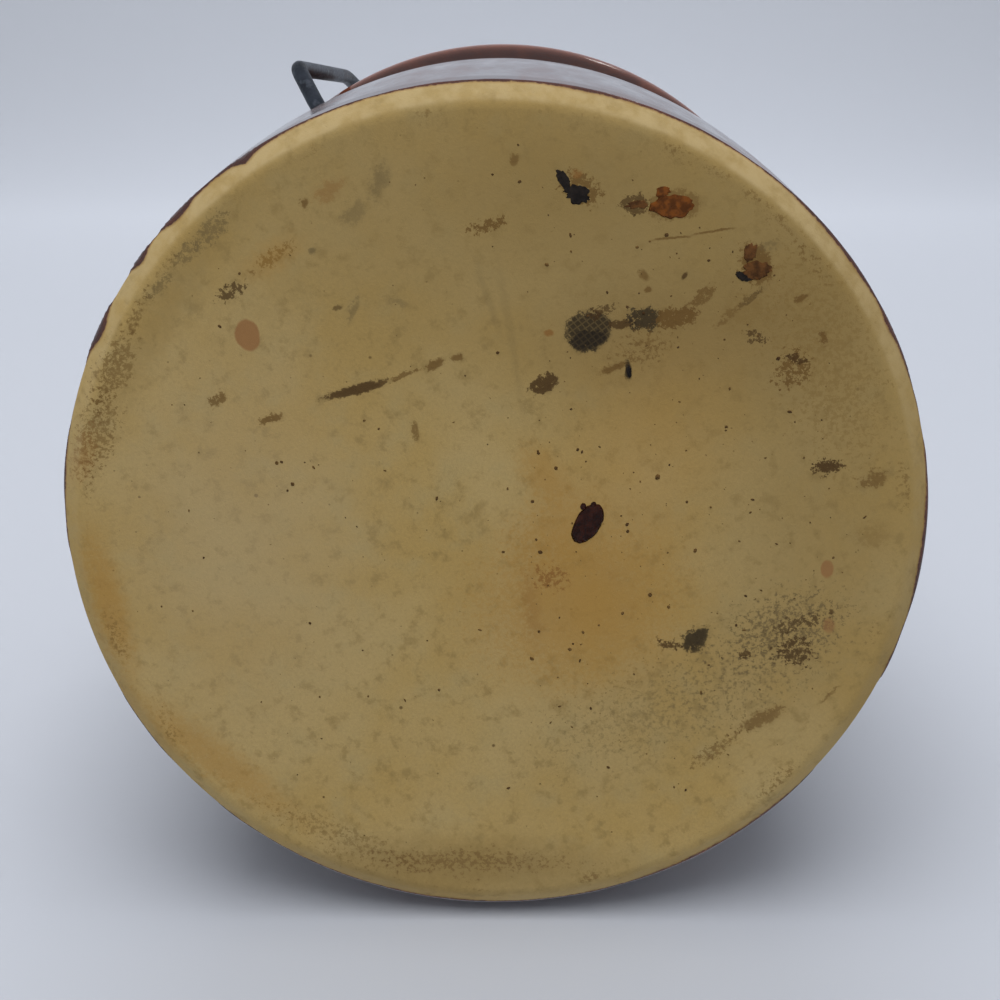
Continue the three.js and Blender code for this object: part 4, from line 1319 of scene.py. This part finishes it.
@dataclass
class Lid:
    """The drop-in lid: glazed dome and knob, bare seat and locating ring, in mm."""

    radius: float = 60.5
    seat_height: float = 125.1
    edge_top: float = 130.1
    edge_round: float = 1.6
    dome_rise: float = 6.5
    dome_thickness: float = 6
    ring_radius: float = 56.7
    ring_bottom: float = 118.1
    ring_thickness: float = 5
    ring_round: float = 1.2
    knob_radius: float = 12.5
    knob_height: float = 13
    knob_edge: float = 2.6
    knob_crown: float = 2.2
    neck_radius: float = 8.5
    neck_round: float = 3.2
    under_round: float = 1.5
    sides: int = 256

    @staticmethod
    def cap_sphere(radius: float, rise: float) -> float:
        """The radius of a sphere whose cap has that rise over that radius."""
        return (radius * radius + rise * rise) / (2 * rise)

    def section(self) -> SectionLine:
        """The lid's half section, from under the dome round to the top of the knob."""
        dome_top = self.edge_top + self.dome_rise
        sphere = self.cap_sphere(self.radius, self.dome_rise)
        centre = (0.0, dome_top - sphere)
        hollow = sphere - self.dome_thickness
        ring_inner = self.ring_radius - self.ring_thickness
        dome_foot = math.acos((self.radius - self.edge_round) / sphere)
        dome_end = math.acos((self.neck_radius + self.neck_round) / sphere)
        foot_place = (sphere * math.cos(dome_foot), centre[1] + sphere * math.sin(dome_foot))
        knob_top = dome_top + self.knob_height
        flare = knob_top - self.knob_crown - 2 * self.knob_edge
        shoulder = knob_top - self.knob_crown
        crown_radius = self.knob_radius - self.knob_edge
        crown = self.cap_sphere(crown_radius, self.knob_crown)
        line = SectionLine(0, centre[1] + hollow)
        line.arc(centre, hollow, math.pi / 2, math.acos(ring_inner / hollow))
        ring_foot = (self.ring_radius, self.ring_bottom)
        ring_top = (self.ring_radius, self.seat_height)
        line.round_corner((ring_inner, self.ring_bottom), ring_foot, self.ring_round)
        line.round_corner(ring_foot, ring_top, self.ring_round)
        line.line_to(*ring_top)
        line.round_corner((self.radius, self.seat_height), (self.radius, self.edge_top), self.edge_round)
        line.round_corner((self.radius, self.edge_top), foot_place, self.edge_round)
        line.arc(centre, sphere, dome_foot, dome_end)
        line.round_corner((self.neck_radius, dome_top), (self.neck_radius, flare), self.neck_round)
        line.round_corner((self.neck_radius, flare), (self.knob_radius, flare), self.under_round)
        line.round_corner((self.knob_radius, flare), (self.knob_radius, shoulder), self.knob_edge)
        line.round_corner((self.knob_radius, shoulder), (crown_radius, shoulder), self.knob_edge)
        line.arc((0.0, knob_top - crown), crown, math.acos(crown_radius / crown), math.pi / 2)
        return line

    def build(self) -> bpy.types.Object:
        """Builds the lid.

        Returns:
            The lid's object.
        """
        along, points, _ = self.section().measured()
        ring_edge = float(along[int(np.argmin(points[:, 1]))]) - 1.5
        seat_edge = float(along[int(np.argmax(points[:, 0]))]) + 0.5
        end = float(along[-1])
        rows = rows_along([
            (0, ring_edge - 8, 3), (ring_edge - 8, seat_edge + 6, 0.4), (seat_edge + 6, end - 40, 2.2),
            (end - 40, end - 12, 0.5), (end - 12, end, 1)])
        angles = np.linspace(0, 2 * math.pi, self.sides, endpoint=False)
        radius = np.interp(rows, along, points[:, 0])[:, None]
        height = np.interp(rows, along, points[:, 1])[:, None]
        rings = np.stack((radius * np.cos(angles), radius * np.sin(angles), height + 0 * angles), axis=2)
        lid = turned_mesh("stoneware_lid", rings, np.maximum(ring_edge - rows, rows - seat_edge))
        lid.data.set_sharp_from_angle(angle=SHARP_EDGE)
        return lid

    def dress(self, lid: bpy.types.Object, shop: Workshop) -> None:
        """Glazes the lid."""
        knob_top = self.edge_top + self.dome_rise + self.knob_height
        lid.data.materials.append(shop.stoneware("lid_stoneware", knob_top - self.knob_crown, False))
        declare(lid, "lid", "lid_stoneware", "crock_lid")


@dataclass
class Bail:
    """The bail: one heavy wire from socket to socket, bent over the lid, in mm."""

    wire_radius: float = 1.52
    pivot_height: float = 80.6
    tip: float = 61.25
    knee: float = 67.5
    knee_round: float = 4
    corner: float = 74.45
    corner_rise: float = 4.2
    corner_round: float = 3.2
    lean: float = math.radians(4.3)
    shoulder_round: float = 22
    crown_height: float = 172.92
    crown_round: float = 110
    crown_slope: float = math.radians(14)
    bend_steps: int = 28
    wire_sides: int = 28

    def corners(self) -> list[tuple[float, float, float]]:
        """The wire's corners.

        Returns:
            Each corner's place along X and Z and the radius that it is bent to.
        """
        corner_height = self.pivot_height + self.corner_rise
        apex = self.crown_height + self.crown_round * (1 / math.cos(self.crown_slope) - 1)
        lean, slope = math.tan(self.lean), math.tan(self.crown_slope)
        shoulder = (self.corner - lean * (apex - corner_height)) / (1 - lean * slope)
        half = [
            (self.tip, self.pivot_height, 0.0),
            (self.knee, self.pivot_height, self.knee_round),
            (self.corner, corner_height, self.corner_round),
            (shoulder, apex - slope * shoulder, self.shoulder_round),
        ]
        mirrored = [(-x, z, bend) for x, z, bend in reversed(half)]
        return half + [(0.0, apex, self.crown_round)] + mirrored

    def build(self, material: bpy.types.Material) -> bpy.types.Object:
        """Bends the wire along its corners.

        Args:
            material: the wire's material, which the tree sets.

        Returns:
            The bail's object.
        """
        corners = self.corners()
        mesh = bpy.data.meshes.new("wire_bail")
        links = [(index, index + 1) for index in range(len(corners) - 1)]
        mesh.from_pydata([(x * MM, 0.0, z * MM) for x, z, _ in corners], links, [])
        bends = np.array([bend * MM for _, _, bend in corners], np.float32)
        mesh.attributes.new(BEND, "FLOAT", "POINT").data.foreach_set("value", bends)
        bail = bpy.data.objects.new("wire_bail", mesh)
        bpy.context.scene.collection.objects.link(bail)
        tree = GrowthTree("bent_wire", {"Wire Radius": "Float", "Bend Steps": "Int", "Wire Sides": "Int"})
        bench = tree.bench
        path = bench.add("GeometryNodeMeshToCurve", {0: tree.given["Geometry"]}).outputs[0]
        bend = bench.add("GeometryNodeInputNamedAttribute", {"Name": BEND}, data_type="FLOAT").outputs[0]
        bent = bench.add("GeometryNodeFilletCurve", {
            "Curve": path, "Radius": bend, "Count": tree.given["Bend Steps"]}, mode="POLY").outputs[0]
        section = bench.add("GeometryNodeCurvePrimitiveCircle", {
            "Resolution": tree.given["Wire Sides"], "Radius": tree.given["Wire Radius"]}).outputs["Curve"]
        wire = bench.add("GeometryNodeCurveToMesh", {
            "Curve": bent, "Profile Curve": section, "Fill Caps": True}).outputs[0]
        tree.finish(wire, material)
        tree.grow(bail, {
            "Wire Radius": self.wire_radius * MM,
            "Bend Steps": self.bend_steps,
            "Wire Sides": self.wire_sides,
        })
        return bail

    def dress(self, bail: bpy.types.Object) -> None:
        """Ties the bail to its body."""
        declare(bail, "bail", "bail_wire", "bail")


@dataclass(frozen=True)
class Viewpoint:
    """The picture's camera: its place from the base's centre in mm, its angles and its lens."""

    right: float = 3.91
    up: float = 74.6
    below: float = 220.4
    tilt: float = math.radians(17.6)
    turn: float = math.radians(0.72)
    lens: float = 55.84

    def build(self) -> None:
        """Makes the camera and gives it to the scene."""
        axis = Vector((
            math.sin(self.turn),
            -math.sin(self.tilt) * math.cos(self.turn),
            math.cos(self.tilt) * math.cos(self.turn)))
        down = (Vector((0, 1, 0)) - axis.y * axis).normalized()
        side = down.cross(axis)
        columns = []
        for index, sign in ((0, 1), (1, -1), (2, -1)):
            column = PICTURE_RIGHT * side[index] - PICTURE_UP * down[index] + UP * axis[index]
            columns.append(sign * column)
        place = (PICTURE_RIGHT * self.right + PICTURE_UP * self.up - UP * self.below) * MM
        lens = bpy.data.cameras.new("picture_camera")
        lens.lens = self.lens
        lens.clip_start = 0.01
        camera = bpy.data.objects.new("picture_camera", lens)
        camera.matrix_world = Matrix.Translation(place) @ Matrix(columns).transposed().to_4x4()
        bpy.context.scene.collection.objects.link(camera)
        bpy.context.scene.camera = camera


@dataclass(frozen=True)
class Lamp:
    """A soft square lamp, placed in metres along picture-right, picture-up and the crock's axis."""

    name: str
    right: float
    up: float
    axis: float
    width: float
    watts: float
    tint: tuple[float, float, float] = (1.0, 1.0, 1.0)
    mirrored: bool = True

    def build(self) -> None:
        """Hangs the lamp so that it shines at the crock."""
        light = bpy.data.lights.new(self.name, "AREA")
        light.shape = "SQUARE"
        light.size = self.width
        light.energy = self.watts
        light.color = self.tint
        lamp = bpy.data.objects.new(self.name, light)
        lamp.location = PICTURE_RIGHT * self.right + PICTURE_UP * self.up + UP * self.axis
        lamp.rotation_mode = "QUATERNION"
        lamp.rotation_quaternion = (-lamp.location).to_track_quat("-Z", "Y")
        lamp.visible_glossy = self.mirrored
        bpy.context.scene.collection.objects.link(lamp)


LAMPS = (
    Lamp("key_over_picture", -0.06, 1.1, -0.36, 1.0, 14.0, (1.0, 0.985, 0.96), False),
    Lamp("back_over_floor", -0.1, 1.3, 1.1, 1.2, 9.0, (0.98, 0.99, 1.0), False),
    Lamp("rim_glint", 0.44, 1.07, 0.83, 0.12, 0.5),
    Lamp("top_over_lid", 0.0, 0.0, 1.7, 0.9, 26.0, (1.0, 1.0, 1.0), False),
)


@dataclass(frozen=True)
class Stage:
    """The pale table, the picture's floor and the plain world, in metres."""

    table_half: float = 4.0
    floor_drop: float = 0.0673
    floor_half: float = 2.0
    floor_front: float = -0.05
    floor_length: float = 0.9
    bend_radius: float = 0.7
    wall_rise: float = 1.6
    pane_depth: float = 0.06
    table_colour: Colour = (0.55, 0.57, 0.61, 1.0)
    floor_colour: Colour = (0.366, 0.387, 0.434, 1.0)
    sky_seen: Colour = (0.57, 0.61, 0.69, 1.0)
    sky_light: Colour = (0.69, 0.7, 0.72, 1.0)

    @staticmethod
    def sheet(name: str, points: list[Vector], faces: list[tuple[int, ...]]) -> bpy.types.Object:
        """A stage sheet from its corners and faces."""
        mesh = bpy.data.meshes.new(name)
        mesh.from_pydata(points, [], faces)
        mesh.shade_smooth()
        made = bpy.data.objects.new(name, mesh)
        bpy.context.scene.collection.objects.link(made)
        return made

    def one_sided(self, name: str, colour: Colour, from_below: bool) -> bpy.types.Material:
        """A dull finish that the camera sees from the front only, and that stops no other light.

        Args:
            name: the material's name.
            colour: its colour.
            from_below: whether it shows only to rays that came through the clear pane under the table.

        Returns:
            The material.
        """
        material = bpy.data.materials.new(name)
        material.use_nodes = True
        bench = NodeBench(material.node_tree)
        material.node_tree.nodes.clear()
        path = bench.add("ShaderNodeLightPath").outputs
        back = bench.add("ShaderNodeNewGeometry").outputs["Backfacing"]
        shown = bench.math("MULTIPLY", path["Is Camera Ray"], bench.math("SUBTRACT", 1.0, back))
        if from_below:
            shown = bench.math("MULTIPLY", shown, bench.math("MINIMUM", path["Transparent Depth"], 1.0))
        clear = bench.add("ShaderNodeBsdfTransparent").outputs[0]
        dull = bench.add("ShaderNodeBsdfDiffuse", {"Color": colour}).outputs[0]
        mixed = bench.add("ShaderNodeMixShader", {0: shown, 1: clear, 2: dull}).outputs[0]
        bench.add("ShaderNodeOutputMaterial", {"Surface": mixed})
        return material

    def build(self) -> None:
        """Lays the table, the picture's floor, the clear pane and the world."""
        half = self.table_half
        corners = ((-half, -half), (half, -half), (half, half), (-half, half))
        square = [Vector((across, deep, 0)) for across, deep in corners]
        table = self.sheet("table", square, [(0, 1, 2, 3)])
        table.data.materials.append(self.one_sided("table_paper", self.table_colour, False))
        pane = self.sheet("clear_pane", [corner - UP * self.pane_depth for corner in square], [(0, 1, 2, 3)])
        glass = bpy.data.materials.new("clear_pane")
        glass.use_nodes = True
        glass.node_tree.nodes.clear()
        bench = NodeBench(glass.node_tree)
        clear = bench.add("ShaderNodeBsdfTransparent").outputs[0]
        bench.add("ShaderNodeOutputMaterial", {"Surface": clear})
        pane.data.materials.append(glass)
        floor = self.picture_floor()
        floor.data.materials.append(self.one_sided("floor_paper", self.floor_colour, True))
        self.world()

    def picture_floor(self) -> bpy.types.Object:
        """The paper that the crock lies on in the picture, swept up behind the rim.

        Returns:
            The floor's object.
        """
        profile = [(self.floor_front, 0.0)]
        profile += [(share * self.floor_length, 0.0) for share in np.linspace(0, 1, 10)]
        for angle in np.linspace(0, math.pi / 2, 25)[1:]:
            axis = self.floor_length + self.bend_radius * math.sin(angle)
            profile.append((axis, self.bend_radius * (1 - math.cos(angle))))
        profile.append((self.floor_length + self.bend_radius, self.wall_rise))
        points = []
        for axis, rise in profile:
            for side in (-self.floor_half, self.floor_half):
                points.append(PICTURE_RIGHT * side + PICTURE_UP * (rise - self.floor_drop) + UP * axis)
        faces = [(2 * i, 2 * i + 1, 2 * i + 3, 2 * i + 2) for i in range(len(profile) - 1)]
        return self.sheet("picture_floor", points, faces)

    def world(self) -> None:
        """A plain pale world: one level that is seen and mirrored, and a lower one that lights."""
        world = bpy.data.worlds.new("studio")
        world.use_nodes = True
        bpy.context.scene.world = world
        bench = NodeBench(world.node_tree)
        path = bench.add("ShaderNodeLightPath").outputs
        shown = bench.math("MAXIMUM", path["Is Camera Ray"], path["Is Glossy Ray"])
        shown = bench.math("MAXIMUM", shown, path["Is Transmission Ray"])
        backdrop = world.node_tree.nodes["Background"]
        world.node_tree.links.new(bench.blend(shown, self.sky_light, self.sky_seen), backdrop.inputs["Color"])


def main() -> None:
    """Builds and dresses each piece in order, then sets the stage."""
    logging.basicConfig(level=logging.INFO, format="%(name)s %(message)s")
    bpy.context.scene.view_settings.view_transform = "Standard"
    Viewpoint().build()
    shop = Workshop()
    crock = Crock()
    crock.dress(crock.build(), shop)
    drops = KilnDrops(crock)
    drops.dress(drops.build_drops(), drops.build_grit(shop.grit()), shop)
    lid = Lid()
    lid.dress(lid.build(), shop)
    bail = Bail()
    bail.dress(bail.build(shop.wire()))
    Stage().build()
    for lamp in LAMPS:
        lamp.build()


if __name__ == "__main__":
    main()
